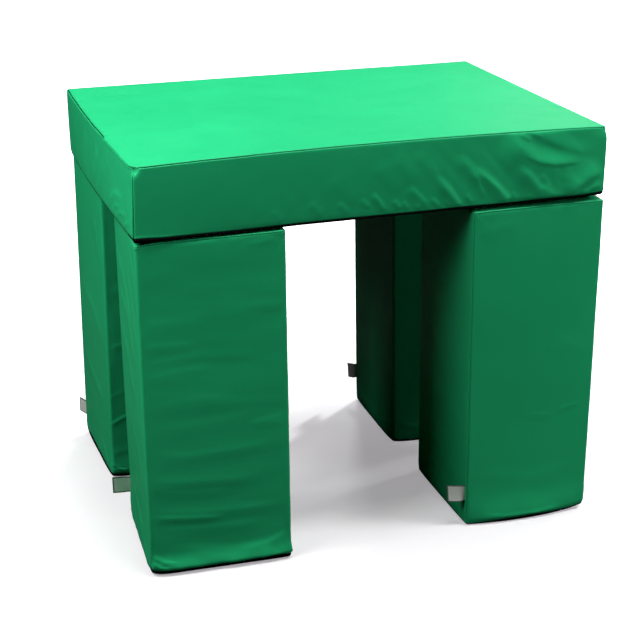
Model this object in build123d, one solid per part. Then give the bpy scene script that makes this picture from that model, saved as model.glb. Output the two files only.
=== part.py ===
from build123d import *
import os

# Soft gym table: a thick foam deck lying on four upright foam blocks.
# Millimetres, +Z up, origin on the floor under the middle of the deck.
# +X runs along the deck's long side, +Y points to the back.

# ---------------------------------------------------------------- dimensions
DECK_L = 1000.0          # deck, long side (X)
DECK_W = 750.0           # deck, short side (Y)
DECK_T = 150.0           # deck, thickness
DECK_R = 10.0            # radius of the deck's upright edges
DECK_LIP = 4.0           # how far the top panel turns down over the edge
DECK_SKIRT = 4.0         # how far the black underside turns up

LEG_S = 295.0            # block, side of its square plan
LEG_H = 720.0            # block, height
LEG_R = 8.0              # radius of the block's upright edges
LEG_LIP = 6.0            # how far the block's top panel turns down
LEG_SKIRT = 8.0          # how far the black foot turns up

SKIN = 1.2               # vinyl and anti-slip cloth, with its backing
PAD_SIDE = 160.0         # hook and loop pads, square
PAD_T = 1.5              # one pad's thickness
PILE_GAP = 0.3           # pile between a hook pad and the loop pad under it

LABEL_OUT = 38.0         # label, how far it stands out of the seam
LABEL_H = 37.0           # label, height
LABEL_T = 1.2            # folded label, thickness

ZIP_Z = 28.0             # zip, height of its middle above the module's base
LEG_ZIP = 236.0          # zip length on a block
DECK_ZIP = 880.0         # zip length on the deck
SLOT_H = 9.0             # gap between the two vinyl edges that show the teeth
TAPE_W = 13.0            # one woven tape, width
TAPE_T = 0.8             # one woven tape, thickness
COIL_W = 5.2             # closed teeth, width
COIL_PROUD = 0.9         # closed teeth, how far they stand proud of the vinyl

# Where the four blocks stand: name -> (shift X, shift Y, turn in degrees,
# quarter turns). They stand free and are set down by hand, so none is exactly
# square to the deck. One of them stands a quarter turn round from the others,
# which brings its closing seam and label to the front.
LEGS = {
    "front_left_leg": (-1, -1, 8.0, -5.0, -2.1, 0),
    "back_left_leg": (-1, 1, 5.0, 14.0, 1.6, 0),
    "front_right_leg": (1, -1, -3.0, -2.0, -0.2, 1),
    "back_right_leg": (1, 1, 0.0, -10.0, -1.2, 0),
}
# Height of each label's middle above the floor, and which way it points
# in its block's own frame before the quarter turn: "-X" or "+Y".
LABELS = {
    "front_left_leg": (77.0, "-X"),
    "back_left_leg": (57.0, "+Y"),
    "front_right_leg": (76.0, "+Y"),
    "back_right_leg": (84.0, "-X"),
}

DECK_Z = LEG_H + 2 * PAD_T + PILE_GAP   # underside of the deck above the floor

os.makedirs("parts", exist_ok=True)


# ---------------------------------------------------------------- helpers
def slab(length, width, z0, z1, radius):
    """Upright prism on a rounded rectangle, from z0 to z1."""
    shape = extrude(RectangleRounded(length, width, radius), z1 - z0)
    return Pos(0, 0, z0) * shape


def block(x0, x1, y0, y1, z0, z1):
    return Pos((x0 + x1) / 2, (y0 + y1) / 2, (z0 + z1) / 2) * Box(x1 - x0, y1 - y0, z1 - z0)


def tray(length, width, radius, z0, height):
    """Open box: a sheet with its rim turned up."""
    outer = slab(length, width, z0, z0 + height, radius)
    inner = slab(length - 2 * SKIN, width - 2 * SKIN, z0 + SKIN, z0 + height + 1, radius - SKIN)
    return outer - inner


def lid(length, width, radius, z1, height):
    """The same turned over: a sheet with its rim turned down."""
    outer = slab(length, width, z1 - height, z1, radius)
    inner = slab(length - 2 * SKIN, width - 2 * SKIN, z1 - height - 1, z1 - SKIN, radius - SKIN)
    return outer - inner


def ring(length, width, radius, z0, z1):
    """Tube of vinyl round the four sides."""
    outer = slab(length, width, z0, z1, radius)
    inner = slab(length - 2 * SKIN, width - 2 * SKIN, z0 - 1, z1 + 1, radius - SKIN)
    return outer - inner


# ---------------------------------------------------------------- zip
# Zip frame: teeth along X, vinyl's outer face on y = 0 and outward +Y,
# middle of the teeth on z = 0.
def zip_slot(length):
    return block(-length / 2, length / 2, -SKIN - 0.5, 0.5, -SLOT_H / 2, SLOT_H / 2)


def zip_recess(length):
    return block(-length / 2 - 10, length / 2 + 10, -SKIN - TAPE_T, 5,
                 -TAPE_W - 1, TAPE_W + 1)


def zip_tapes(length):
    upper = block(-length / 2 - 10, length / 2 + 10, -SKIN - TAPE_T, -SKIN, 1.0, TAPE_W + 1)
    lower = block(-length / 2 - 10, length / 2 + 10, -SKIN - TAPE_T, -SKIN, -TAPE_W - 1, -1.0)
    return [upper, lower]


def zip_coil(length):
    half = length / 2 - 6
    teeth = block(-half, half, -SKIN, COIL_PROUD, -COIL_W / 2, COIL_W / 2)
    edges = [e for e in teeth.edges().filter_by(Axis.X) if e.center().Y > 0]
    teeth = fillet(edges, 0.8)
    stops = [block(sx * (half + 1.5) - 1.3, sx * (half + 1.5) + 1.3, -SKIN, 0.5,
                   -3.2, 3.2) for sx in (-1, 1)]
    return [teeth] + stops


def zip_slider():
    body = block(-5.0, 5.0, 1.2, 3.6, -4.2, 4.2)
    corners = body.edges().filter_by(Axis.Y)
    body = fillet(corners, 1.6)
    shape = body
    for side in (-1, 1):
        shape += block(-4.0, 4.0, -0.8, 1.4, min(side * 3.0, side * 4.2), max(side * 3.0, side * 4.2))
    # Bail: an arch along the teeth that holds the pull's rail.
    for side in (-1, 1):
        shape += block(min(side * 2.8, side * 4.0), max(side * 2.8, side * 4.0), 3.4, 5.6, -1.0, 1.0)
    bridge = block(-4.0, 4.0, 5.0, 6.2, -1.0, 1.0)
    bridge = fillet([e for e in bridge.edges().filter_by(Axis.Z) if e.center().Y > 6.0], 0.9)
    return shape + bridge


PULL_Y = 4.3             # height of the pull's pivot above the vinyl


def zip_pull():
    rail = Pos(0, PULL_Y, 0) * Cylinder(0.4, 6.0)
    shape = rail
    for side in (-1, 1):
        z0, z1 = min(side * 1.6, side * 3.2), max(side * 1.6, side * 3.2)
        eye = Pos(0, PULL_Y, (z0 + z1) / 2) * Cylinder(0.6, z1 - z0)
        arm = block(0, 7.0, PULL_Y - 0.4, PULL_Y + 0.4, z0, z1)
        shape += eye + arm
    tab = block(5.2, 24.0, PULL_Y - 0.4, PULL_Y + 0.4, -3.2, 3.2)
    tab = fillet([e for e in tab.edges().filter_by(Axis.Y) if e.center().X > 20], 2.4)
    hole = Pos(20.0, PULL_Y, 0) * Rot(90, 0, 0) * Cylinder(1.2, 4.0)
    return shape + tab - hole


def put(shapes, where):
    """Moves one solid or a list of them and returns one shape."""
    if not isinstance(shapes, (list, tuple)):
        return where * shapes
    return Compound(children=[where * s for s in shapes])


def write(name, shape):
    shape.label = name
    export_step(shape, "parts/" + name + ".step")


# ---------------------------------------------------------------- blocks
def leg_pieces(name):
    """The pieces of one block in its own frame: base middle at the origin,
    closing seam at the corner -X +Y, zip on the +X face."""
    half = LEG_S / 2
    pieces = {}
    zip_at = Pos(half, 0, ZIP_Z) * Rot(0, 0, -90)
    core = slab(LEG_S - 2 * SKIN, LEG_S - 2 * SKIN, SKIN, LEG_H - SKIN, LEG_R - SKIN)
    pieces["foam_core"] = core - zip_at * zip_recess(LEG_ZIP)
    wrap = ring(LEG_S, LEG_S, LEG_R, LEG_SKIRT, LEG_H - LEG_LIP)
    pieces["side_wrap"] = wrap - zip_at * zip_slot(LEG_ZIP)
    pieces["top_panel"] = lid(LEG_S, LEG_S, LEG_R, LEG_H, LEG_LIP)
    pieces["base_panel"] = tray(LEG_S, LEG_S, LEG_R, 0, LEG_SKIRT)
    pieces["loop_pad"] = slab(PAD_SIDE, PAD_SIDE, LEG_H, LEG_H + PAD_T, 6.0)
    pieces["zip_tapes"] = [zip_at * s for s in zip_tapes(LEG_ZIP)]
    pieces["zip_coil"] = [zip_at * s for s in zip_coil(LEG_ZIP)]
    slider_at = zip_at * Pos(LEG_ZIP / 2 - 13, 0, 0)
    pieces["zip_slider"] = slider_at * zip_slider()
    pieces["zip_pull"] = slider_at * zip_pull()
    height, way = LABELS[name]
    flat = half - LEG_R - LABEL_T / 2
    if way == "-X":
        label = block(-half - LABEL_OUT, -half, flat - LABEL_T / 2, flat + LABEL_T / 2,
                      height - LABEL_H / 2, height + LABEL_H / 2)
    else:
        label = block(-flat - LABEL_T / 2, -flat + LABEL_T / 2, half, half + LABEL_OUT,
                      height - LABEL_H / 2, height + LABEL_H / 2)
    pieces["label"] = label
    return pieces


def leg_place(name):
    sx, sy, dx, dy, yaw, quarters = LEGS[name]
    cx = sx * (DECK_L - LEG_S) / 2 + dx
    cy = sy * (DECK_W - LEG_S) / 2 + dy
    return Pos(cx, cy, 0) * Rot(0, 0, yaw + 90 * quarters)


for name in LEGS:
    where = leg_place(name)
    for part, shape in leg_pieces(name).items():
        write(name + "_" + part, put(shape, where))


# ---------------------------------------------------------------- deck
deck_at = Pos(0, 0, DECK_Z)
zip_at = Pos(0, DECK_W / 2, ZIP_Z) * Rot(0, 0, 0)

core = slab(DECK_L - 2 * SKIN, DECK_W - 2 * SKIN, SKIN, DECK_T - SKIN, DECK_R - SKIN)
write("deck_foam_core", put(core - zip_at * zip_recess(DECK_ZIP), deck_at))
write("deck_top_panel", put(lid(DECK_L, DECK_W, DECK_R, DECK_T, DECK_LIP), deck_at))
write("deck_base_panel", put(tray(DECK_L, DECK_W, DECK_R, 0, DECK_SKIRT), deck_at))

# The four side bands meet in seams on the upright corners. Each is the ring
# inside a wedge whose sides run through the middle of two corners.
band = ring(DECK_L, DECK_W, DECK_R, DECK_SKIRT, DECK_T - DECK_LIP)
hx, hy, far = DECK_L / 2, DECK_W / 2, 60.0


def wedge(points):
    face = make_face(Polyline(*points, close=True))
    return extrude(face, DECK_T + 20)


front = wedge([(-hx - far, -hy - far), (hx + far, -hy - far), (hx - far, -hy + far), (-hx + far, -hy + far)])
back = wedge([(-hx - far, hy + far), (-hx + far, hy - far), (hx - far, hy - far), (hx + far, hy + far)])
left = wedge([(-hx - far, -hy - far), (-hx + far, -hy + far), (-hx + far, hy - far), (-hx - far, hy + far)])
right = wedge([(hx + far, -hy - far), (hx + far, hy + far), (hx - far, hy - far), (hx - far, -hy + far)])
write("deck_front_band", put(band & front, deck_at))
write("deck_back_band", put((band & back) - zip_at * zip_slot(DECK_ZIP), deck_at))
write("deck_left_band", put(band & left, deck_at))
write("deck_right_band", put(band & right, deck_at))

for name, (sx, sy, dx, dy, yaw, quarters) in LEGS.items():
    pad = slab(PAD_SIDE, PAD_SIDE, -PAD_T, 0, 6.0)
    at = Pos(sx * (DECK_L - LEG_S) / 2, sy * (DECK_W - LEG_S) / 2, DECK_Z)
    write("deck_hook_pad_" + name[:-4], put(pad, at))

write("deck_zip_tapes", put([zip_at * s for s in zip_tapes(DECK_ZIP)], deck_at))
write("deck_zip_coil", put([zip_at * s for s in zip_coil(DECK_ZIP)], deck_at))
slider_at = zip_at * Pos(DECK_ZIP / 2 - 13, 0, 0)
write("deck_zip_slider", put(slider_at * zip_slider(), deck_at))
write("deck_zip_pull", put(slider_at * zip_pull(), deck_at))
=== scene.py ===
import bpy
import math
import numpy as np
from mathutils import Vector, Matrix


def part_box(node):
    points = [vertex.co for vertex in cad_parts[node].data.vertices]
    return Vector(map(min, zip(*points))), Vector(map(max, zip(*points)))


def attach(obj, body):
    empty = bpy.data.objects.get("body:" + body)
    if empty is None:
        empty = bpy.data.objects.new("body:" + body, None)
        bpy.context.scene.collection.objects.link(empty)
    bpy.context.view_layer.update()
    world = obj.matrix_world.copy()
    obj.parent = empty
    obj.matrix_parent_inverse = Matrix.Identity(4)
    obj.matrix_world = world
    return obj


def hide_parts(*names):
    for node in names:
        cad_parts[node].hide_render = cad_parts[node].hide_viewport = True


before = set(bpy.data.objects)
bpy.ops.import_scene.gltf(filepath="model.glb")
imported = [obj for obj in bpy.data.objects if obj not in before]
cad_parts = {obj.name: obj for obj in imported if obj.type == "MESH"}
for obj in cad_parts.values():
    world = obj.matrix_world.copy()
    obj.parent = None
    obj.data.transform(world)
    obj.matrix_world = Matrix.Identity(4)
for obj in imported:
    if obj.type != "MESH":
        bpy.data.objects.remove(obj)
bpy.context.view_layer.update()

# ------------------------------------------------------------------ camera
# World metres, X along the deck's long side, Y to the back, Z up.
CAM_POS = (-1.04138, -3.20543, 1.63046)
CAM_AZ, CAM_EL, CAM_ROLL, CAM_LENS = 0.31181, 0.35647, -0.00562, 88.0


def make_camera():
    data = bpy.data.cameras.new("camera")
    cam = bpy.data.objects.new("camera", data)
    bpy.context.scene.collection.objects.link(cam)
    fwd = Vector((math.cos(CAM_EL) * math.sin(CAM_AZ), math.cos(CAM_EL) * math.cos(CAM_AZ), -math.sin(CAM_EL)))
    right = Vector((math.cos(CAM_AZ), -math.sin(CAM_AZ), 0))
    up = right.cross(fwd)
    r2 = right * math.cos(CAM_ROLL) + up * math.sin(CAM_ROLL)
    u2 = -right * math.sin(CAM_ROLL) + up * math.cos(CAM_ROLL)
    m = Matrix((r2, u2, -fwd)).transposed().to_4x4()
    m.translation = Vector(CAM_POS)
    cam.matrix_world = m
    data.lens, data.sensor_width, data.sensor_fit = CAM_LENS, 36.0, "HORIZONTAL"
    data.clip_start, data.clip_end = 0.05, 200
    bpy.context.scene.camera = cam
    return cam


make_camera()
bpy.context.scene.view_settings.view_transform = "Standard"
bpy.context.scene.view_settings.look = "None"


# ------------------------------------------------------------------ materials
def node(tree, kind, **inputs):
    n = tree.nodes.new(kind)
    for key, value in inputs.items():
        if key in ("operation", "blend_type", "data_type", "feature", "distance", "wave_type", "bands_direction",
                   "wave_profile", "noise_type", "attribute_name", "attribute_type", "normalize", "invert",
                   "vector_type", "interpolation_type", "rings_direction"):
            setattr(n, key, value)
        else:
            n.inputs[key.replace("_", " ")].default_value = value
    return n


def principled(name):
    mat = bpy.data.materials.new(name)
    mat.use_nodes = True
    tree = mat.node_tree
    tree.nodes.clear()
    out = tree.nodes.new("ShaderNodeOutputMaterial")
    bsdf = tree.nodes.new("ShaderNodeBsdfPrincipled")
    tree.links.new(bsdf.outputs[0], out.inputs[0])
    coord = tree.nodes.new("ShaderNodeTexCoord")
    return mat, tree, bsdf, coord.outputs["Object"]


def noise(tree, vec, scale, detail=2.0, rough=0.5, distortion=0.0):
    n = tree.nodes.new("ShaderNodeTexNoise")
    n.inputs["Scale"].default_value = scale
    n.inputs["Detail"].default_value = detail
    n.inputs["Roughness"].default_value = rough
    n.inputs["Distortion"].default_value = distortion
    tree.links.new(vec, n.inputs["Vector"])
    return n.outputs["Fac"]


def voronoi(tree, vec, scale, feature="F1"):
    n = tree.nodes.new("ShaderNodeTexVoronoi")
    n.feature = feature
    n.inputs["Scale"].default_value = scale
    tree.links.new(vec, n.inputs["Vector"])
    return n.outputs["Distance"]


def wave(tree, vec, scale, direction="X", distortion=0.0):
    n = tree.nodes.new("ShaderNodeTexWave")
    n.wave_type, n.bands_direction = "BANDS", direction
    n.inputs["Scale"].default_value = scale
    n.inputs["Distortion"].default_value = distortion
    tree.links.new(vec, n.inputs["Vector"])
    return n.outputs["Fac"]


def stretch(tree, vec, scale):
    n = tree.nodes.new("ShaderNodeMapping")
    n.inputs["Scale"].default_value = scale
    tree.links.new(vec, n.inputs["Vector"])
    return n.outputs[0]


def ramp(tree, fac, stops):
    n = tree.nodes.new("ShaderNodeValToRGB")
    e = n.color_ramp.elements
    while len(e) < len(stops):
        e.new(0.5)
    for k, (at, colour) in enumerate(stops):
        e[k].position = at
        e[k].color = (*colour, 1)
    tree.links.new(fac, n.inputs[0])
    return n.outputs[0]


def spread(tree, fac, lo, hi, a=0.0, b=1.0):
    n = tree.nodes.new("ShaderNodeMapRange")
    n.inputs[1].default_value, n.inputs[2].default_value = a, b
    n.inputs[3].default_value, n.inputs[4].default_value = lo, hi
    tree.links.new(fac, n.inputs[0])
    return n.outputs[0]


def mixed(tree, fac, a, b, kind="MIX"):
    n = tree.nodes.new("ShaderNodeMix")
    n.data_type, n.blend_type = "RGBA", kind
    for value, slot in ((fac, 0), (a, 6), (b, 7)):
        if isinstance(value, (int, float)):
            n.inputs[slot].default_value = value
        elif isinstance(value, tuple):
            n.inputs[slot].default_value = (*value, 1)
        else:
            tree.links.new(value, n.inputs[slot])
    return n.outputs[2]


def maths(tree, kind, a, b):
    n = tree.nodes.new("ShaderNodeMath")
    n.operation = kind
    for slot, value in enumerate((a, b)):
        if isinstance(value, (int, float)):
            n.inputs[slot].default_value = value
        else:
            tree.links.new(value, n.inputs[slot])
    return n.outputs[0]


def attribute(tree, name):
    n = tree.nodes.new("ShaderNodeAttribute")
    n.attribute_name = name
    return n.outputs["Fac"]


def bump(tree, bsdf, height, strength, distance, under=None):
    n = tree.nodes.new("ShaderNodeBump")
    n.inputs["Strength"].default_value = strength
    n.inputs["Distance"].default_value = distance
    tree.links.new(height, n.inputs["Height"])
    if under is not None:
        tree.links.new(under, n.inputs["Normal"])
    tree.links.new(n.outputs[0], bsdf.inputs["Normal"])
    return n.outputs[0]


def vinyl():
    """Coated cloth: fine leather grain over a barely seen weave, satin, with painted shade down in the seams, and
    lighter and duller near the seams where it rubs, the lighter tone partly a painted highlight on the seam ridges.
    """
    mat, t, s, vec = principled("green_vinyl")
    tone = noise(t, vec, 3.2, 3.0)
    fine = noise(t, vec, 90.0, 2.0)
    base = ramp(t, tone, [(0.3, (0.0155, 0.478, 0.178)), (0.7, (0.0190, 0.520, 0.198))])
    base = mixed(t, spread(t, fine, 0.0, 0.08), base, (0.026, 0.570, 0.225))
    # Lighter tone near the seams: partly wear, partly a painted highlight on the seam ridges.
    rub_and_highlight = attribute(t, "edge_wear_and_highlight")
    base = mixed(t, maths(t, "MULTIPLY", rub_and_highlight, 0.22), base, (0.040, 0.620, 0.270))
    # Painted shade: the seam attribute darkens the vinyl almost to black in the seam grooves.
    base = mixed(t, attribute(t, "seam"), base, (0.0006, 0.022, 0.0075))
    t.links.new(base, s.inputs["Base Color"])
    r = spread(t, noise(t, vec, 14.0, 3.0), 0.36, 0.46, 0.3, 0.7)
    r = maths(t, "ADD", r, maths(t, "MULTIPLY", rub_and_highlight, 0.06))
    t.links.new(r, s.inputs["Roughness"])
    s.inputs["Specular IOR Level"].default_value = 0.21
    soft = bump(t, s, noise(t, vec, 30.0, 3.0, 0.55, 0.6), 0.08, 0.0010)
    bump(t, s, voronoi(t, vec, 950.0), 0.12, 0.00025, soft)
    return mat


def anti_slip():
    """Black cloth with small raised rubber dots."""
    mat, t, s, vec = principled("black_anti_slip")
    dots = voronoi(t, vec, 260.0)
    base = ramp(t, dots, [(0.25, (0.0030, 0.0030, 0.0032)), (0.45, (0.0065, 0.0065, 0.0070))])
    t.links.new(base, s.inputs["Base Color"])
    t.links.new(spread(t, dots, 0.62, 0.9, 0.2, 0.5), s.inputs["Roughness"])
    s.inputs["Specular IOR Level"].default_value = 0.2
    weave = maths(t, "MULTIPLY", wave(t, vec, 700.0, "X"), wave(t, vec, 700.0, "Y"))
    under = bump(t, s, weave, 0.25, 0.0003)
    bump(t, s, ramp(t, dots, [(0.25, (1, 1, 1)), (0.42, (0, 0, 0))]), 0.6, 0.0006, under)
    return mat


def foam():
    mat, t, s, vec = principled("foam")
    cells = voronoi(t, vec, 900.0)
    base = ramp(t, noise(t, vec, 8.0), [(0.3, (0.52, 0.50, 0.40)), (0.7, (0.60, 0.58, 0.48))])
    base = mixed(t, spread(t, cells, 0.0, 0.5), (0.30, 0.29, 0.22), base)
    t.links.new(base, s.inputs["Base Color"])
    s.inputs["Roughness"].default_value = 0.95
    bump(t, s, cells, 0.8, 0.0008)
    return mat


def pile(name, dark, light, scale, depth, rough):
    """Loop pile or hook tape: a fine field of tufts or hooks on a woven ground."""
    mat, t, s, vec = principled(name)
    tufts = voronoi(t, vec, scale)
    fuzz = noise(t, vec, scale * 1.7, 3.0, 0.65, 1.5)
    base = ramp(t, tufts, [(0.1, light), (0.6, dark)])
    base = mixed(t, spread(t, fuzz, 0.0, 0.5), base, dark)
    t.links.new(base, s.inputs["Base Color"])
    t.links.new(spread(t, fuzz, rough, rough + 0.15), s.inputs["Roughness"])
    s.inputs["Sheen Weight"].default_value = 0.25
    s.inputs["Sheen Roughness"].default_value = 0.5
    under = bump(t, s, tufts, 0.9, depth)
    bump(t, s, fuzz, 0.5, depth * 0.7, under)
    return mat


def woven(name, dark, light, scale):
    """Woven tape: crossing threads."""
    mat, t, s, vec = principled(name)
    a = wave(t, vec, scale, "Z")
    b = wave(t, stretch(t, vec, (1, 1, 1)), scale, "DIAGONAL")
    w = maths(t, "MAXIMUM", a, b)
    base = ramp(t, w, [(0.2, dark), (0.8, light)])
    base = mixed(t, spread(t, noise(t, vec, 300.0), 0.0, 0.3), base, dark)
    t.links.new(base, s.inputs["Base Color"])
    t.links.new(spread(t, w, 0.85, 0.65), s.inputs["Roughness"])
    s.inputs["Sheen Weight"].default_value = 0.15
    bump(t, s, w, 0.5, 0.00025)
    return mat


def thread():
    mat, t, s, vec = principled("thread")
    twist = wave(t, vec, 900.0, "DIAGONAL")
    t.links.new(ramp(t, twist, [(0.2, (0.010, 0.27, 0.09)), (0.8, (0.020, 0.45, 0.16))]), s.inputs["Base Color"])
    t.links.new(spread(t, twist, 0.42, 0.6), s.inputs["Roughness"])
    s.inputs["Sheen Weight"].default_value = 0.2
    bump(t, s, twist, 0.6, 0.0002)
    return mat


def dark_thread():
    mat, t, s, vec = principled("dark_thread")
    twist = wave(t, vec, 900.0, "DIAGONAL")
    t.links.new(ramp(t, twist, [(0.2, (0.012, 0.012, 0.012)), (0.8, (0.035, 0.035, 0.036))]), s.inputs["Base Color"])
    t.links.new(spread(t, twist, 0.45, 0.65), s.inputs["Roughness"])
    bump(t, s, twist, 0.6, 0.0002)
    return mat


def teeth():
    mat, t, s, vec = principled("zip_teeth")
    n = noise(t, vec, 400.0, 3.0)
    t.links.new(ramp(t, n, [(0.3, (0.010, 0.010, 0.011)), (0.7, (0.022, 0.022, 0.024))]), s.inputs["Base Color"])
    t.links.new(spread(t, n, 0.28, 0.45), s.inputs["Roughness"])
    bump(t, s, n, 0.15, 0.0001)
    return mat


def metal():
    """Lacquered die-cast zinc, worn brighter where it is handled."""
    mat, t, s, vec = principled("zip_metal")
    n = noise(t, vec, 260.0, 4.0, 0.6)
    scuff = noise(t, stretch(t, vec, (400, 400, 2600)), 1.0, 3.0, 0.7)
    base = ramp(t, n, [(0.35, (0.050, 0.052, 0.056)), (0.75, (0.16, 0.165, 0.17))])
    base = mixed(t, spread(t, scuff, 0.0, 0.55, 0.55, 0.8), base, (0.40, 0.41, 0.42))
    t.links.new(base, s.inputs["Base Color"])
    s.inputs["Metallic"].default_value = 0.9
    t.links.new(spread(t, n, 0.24, 0.42), s.inputs["Roughness"])
    bump(t, s, scuff, 0.12, 0.0001)
    return mat


def ribbon():
    """Pale woven label: satin weave, darker selvedge, one lighter woven line."""
    mat, t, s, vec = principled("label_ribbon")
    a = wave(t, vec, 1150.0, "Z")
    b = noise(t, stretch(t, vec, (2200, 2200, 500)), 1.0, 2.0)
    base = ramp(t, a, [(0.1, (0.72, 0.77, 0.70)), (0.9, (0.86, 0.91, 0.84))])
    base = mixed(t, spread(t, b, 0.0, 0.35, 0.35, 0.75), base, (0.60, 0.65, 0.60))
    base = mixed(t, attribute(t, "border"), base, (0.090, 0.140, 0.112))
    base = mixed(t, attribute(t, "line"), base, (0.80, 0.92, 0.85))
    t.links.new(base, s.inputs["Base Color"])
    t.links.new(spread(t, a, 0.40, 0.58), s.inputs["Roughness"])
    s.inputs["Sheen Weight"].default_value = 0.2
    bump(t, s, a, 0.35, 0.0002)
    return mat


VINYL, BLACK, FOAM = vinyl(), anti_slip(), foam()
LOOP = pile("loop_tape", (0.010, 0.011, 0.011), (0.045, 0.047, 0.048), 700.0, 0.0010, 0.85)
HOOK = pile("hook_tape", (0.008, 0.008, 0.009), (0.060, 0.062, 0.065), 520.0, 0.0012, 0.45)
TAPE = woven("zip_tape", (0.010, 0.011, 0.011), (0.040, 0.042, 0.042), 1000.0)
THREAD, DARK_THREAD, TEETH, METAL, RIBBON = thread(), dark_thread(), teeth(), metal(), ribbon()


# ------------------------------------------------------------------ mesh help
def build(name, verts, faces, mat, attributes=None):
    """A smooth mesh object from points and a list of faces, given as arrays of 3 or 4 corners. Repeated corners are dropped."""
    quads, tris = [], []
    for f in faces:
        f = np.asarray(f, np.int64).reshape(-1, np.shape(f)[-1])
        if f.shape[1] == 3:
            tris.append(f)
            continue
        same = [f[:, i] == f[:, (i + 1) % 4] for i in range(4)]
        count = sum(s.astype(int) for s in same)
        quads.append(f[count == 0])
        for i in range(4):
            pick = (count == 1) & same[i]
            keep = [k for k in range(4) if k != i]
            tris.append(f[pick][:, keep])
    q = np.concatenate(quads) if quads else np.zeros((0, 4), np.int64)
    t = np.concatenate(tris) if tris else np.zeros((0, 3), np.int64)
    t = t[(t[:, 0] != t[:, 1]) & (t[:, 1] != t[:, 2]) & (t[:, 0] != t[:, 2])]
    used = np.unique(np.concatenate([q.ravel(), t.ravel()]))
    remap = np.full(len(verts), -1, np.int64)
    remap[used] = np.arange(len(used))
    verts, q, t = verts[used], remap[q], remap[t]
    me = bpy.data.meshes.new(name)
    me.vertices.add(len(verts))
    me.vertices.foreach_set("co", verts.astype(np.float32).ravel())
    me.loops.add(q.size + t.size)
    me.loops.foreach_set("vertex_index", np.concatenate([q.ravel(), t.ravel()]).astype(np.int32))
    me.polygons.add(len(q) + len(t))
    starts = np.concatenate([np.arange(len(q)) * 4, q.size + np.arange(len(t)) * 3])
    me.polygons.foreach_set("loop_start", starts.astype(np.int32))
    me.update(calc_edges=True)
    me.validate()
    me.polygons.foreach_set("use_smooth", np.ones(len(me.polygons), bool))
    for key, value in (attributes or {}).items():
        a = me.attributes.new(key, "FLOAT", "POINT")
        a.data.foreach_set("value", np.asarray(value, np.float32)[used])
    me.materials.append(mat)
    obj = bpy.data.objects.new(name, me)
    bpy.context.scene.collection.objects.link(obj)
    return obj


def sheet_faces(index):
    """Quads of a grid of vertex numbers, rows going up and columns to the right as seen from outside."""
    return np.stack([index[:-1, :-1], index[:-1, 1:], index[1:, 1:], index[1:, :-1]], -1).reshape(-1, 4)


def fade(x, a, b):
    """0 below a, 1 above b, smooth between."""
    t = np.clip((x - a) / (b - a), 0, 1)
    return t * t * (3 - 2 * t)


def lattice(i, j, seed):
    n = (i * 374761393 + j * 668265263 + seed * 1442695041) & 0x7FFFFFFF
    n = ((n ^ (n >> 13)) * 1274126177) & 0x7FFFFFFF
    n = n ^ (n >> 16)
    return (n & 0xFFFF) / 32767.5 - 1.0


def field(x, y, seed):
    """Smooth random values of about -1 to 1, one lattice cell per unit."""
    x, y = np.broadcast_arrays(np.asarray(x, float), np.asarray(y, float))
    i, j = np.floor(x).astype(np.int64), np.floor(y).astype(np.int64)
    fx, fy = x - i, y - j
    fx = fx * fx * fx * (fx * (fx * 6 - 15) + 10)
    fy = fy * fy * fy * (fy * (fy * 6 - 15) + 10)
    a = lattice(i, j, seed) * (1 - fx) + lattice(i + 1, j, seed) * fx
    b = lattice(i, j + 1, seed) * (1 - fx) + lattice(i + 1, j + 1, seed) * fx
    return a * (1 - fy) + b * fy


def stroke(x, y, path, left, right, height, start=0.3, end=0.3):
    """A ridge along a polyline, height in the units of the field. left and right are its half widths on each side."""
    p = np.array(path, float)
    reach = 3.2 * max(left, right)
    lo, hi = p.min(0) - reach, p.max(0) + reach
    out = np.zeros(x.shape)
    pick = (x > lo[0]) & (x < hi[0]) & (y > lo[1]) & (y < hi[1])
    if not pick.any():
        return out
    px, py = x[pick], y[pick]
    seg = np.linalg.norm(np.diff(p, axis=0), axis=1)
    total, done = seg.sum(), 0.0
    best, signed, along = np.full(px.shape, 1e9), np.zeros(px.shape), np.zeros(px.shape)
    for k in range(len(seg)):
        d = (p[k + 1] - p[k]) / seg[k]
        rx, ry = px - p[k, 0], py - p[k, 1]
        t = np.clip(rx * d[0] + ry * d[1], 0, seg[k])
        ox, oy = rx - t * d[0], ry - t * d[1]
        dist = np.hypot(ox, oy)
        side = d[0] * ry - d[1] * rx
        near = dist < best
        best = np.where(near, dist, best)
        signed = np.where(near, np.where(side > 0, -dist, dist), signed)
        along = np.where(near, (done + t) / total, along)
        done += seg[k]
    width = np.where(signed < 0, left, right)
    shape = np.exp(-(signed / width) ** 2)
    ends = (fade(along, -0.001, start) if start else 1.0) * (1 - fade(along, 1 - end, 1.001) if end else 1.0)
    out[pick] = height * shape * ends
    return out


# ------------------------------------------------------------------ rounded forms
MM = 0.001


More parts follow.
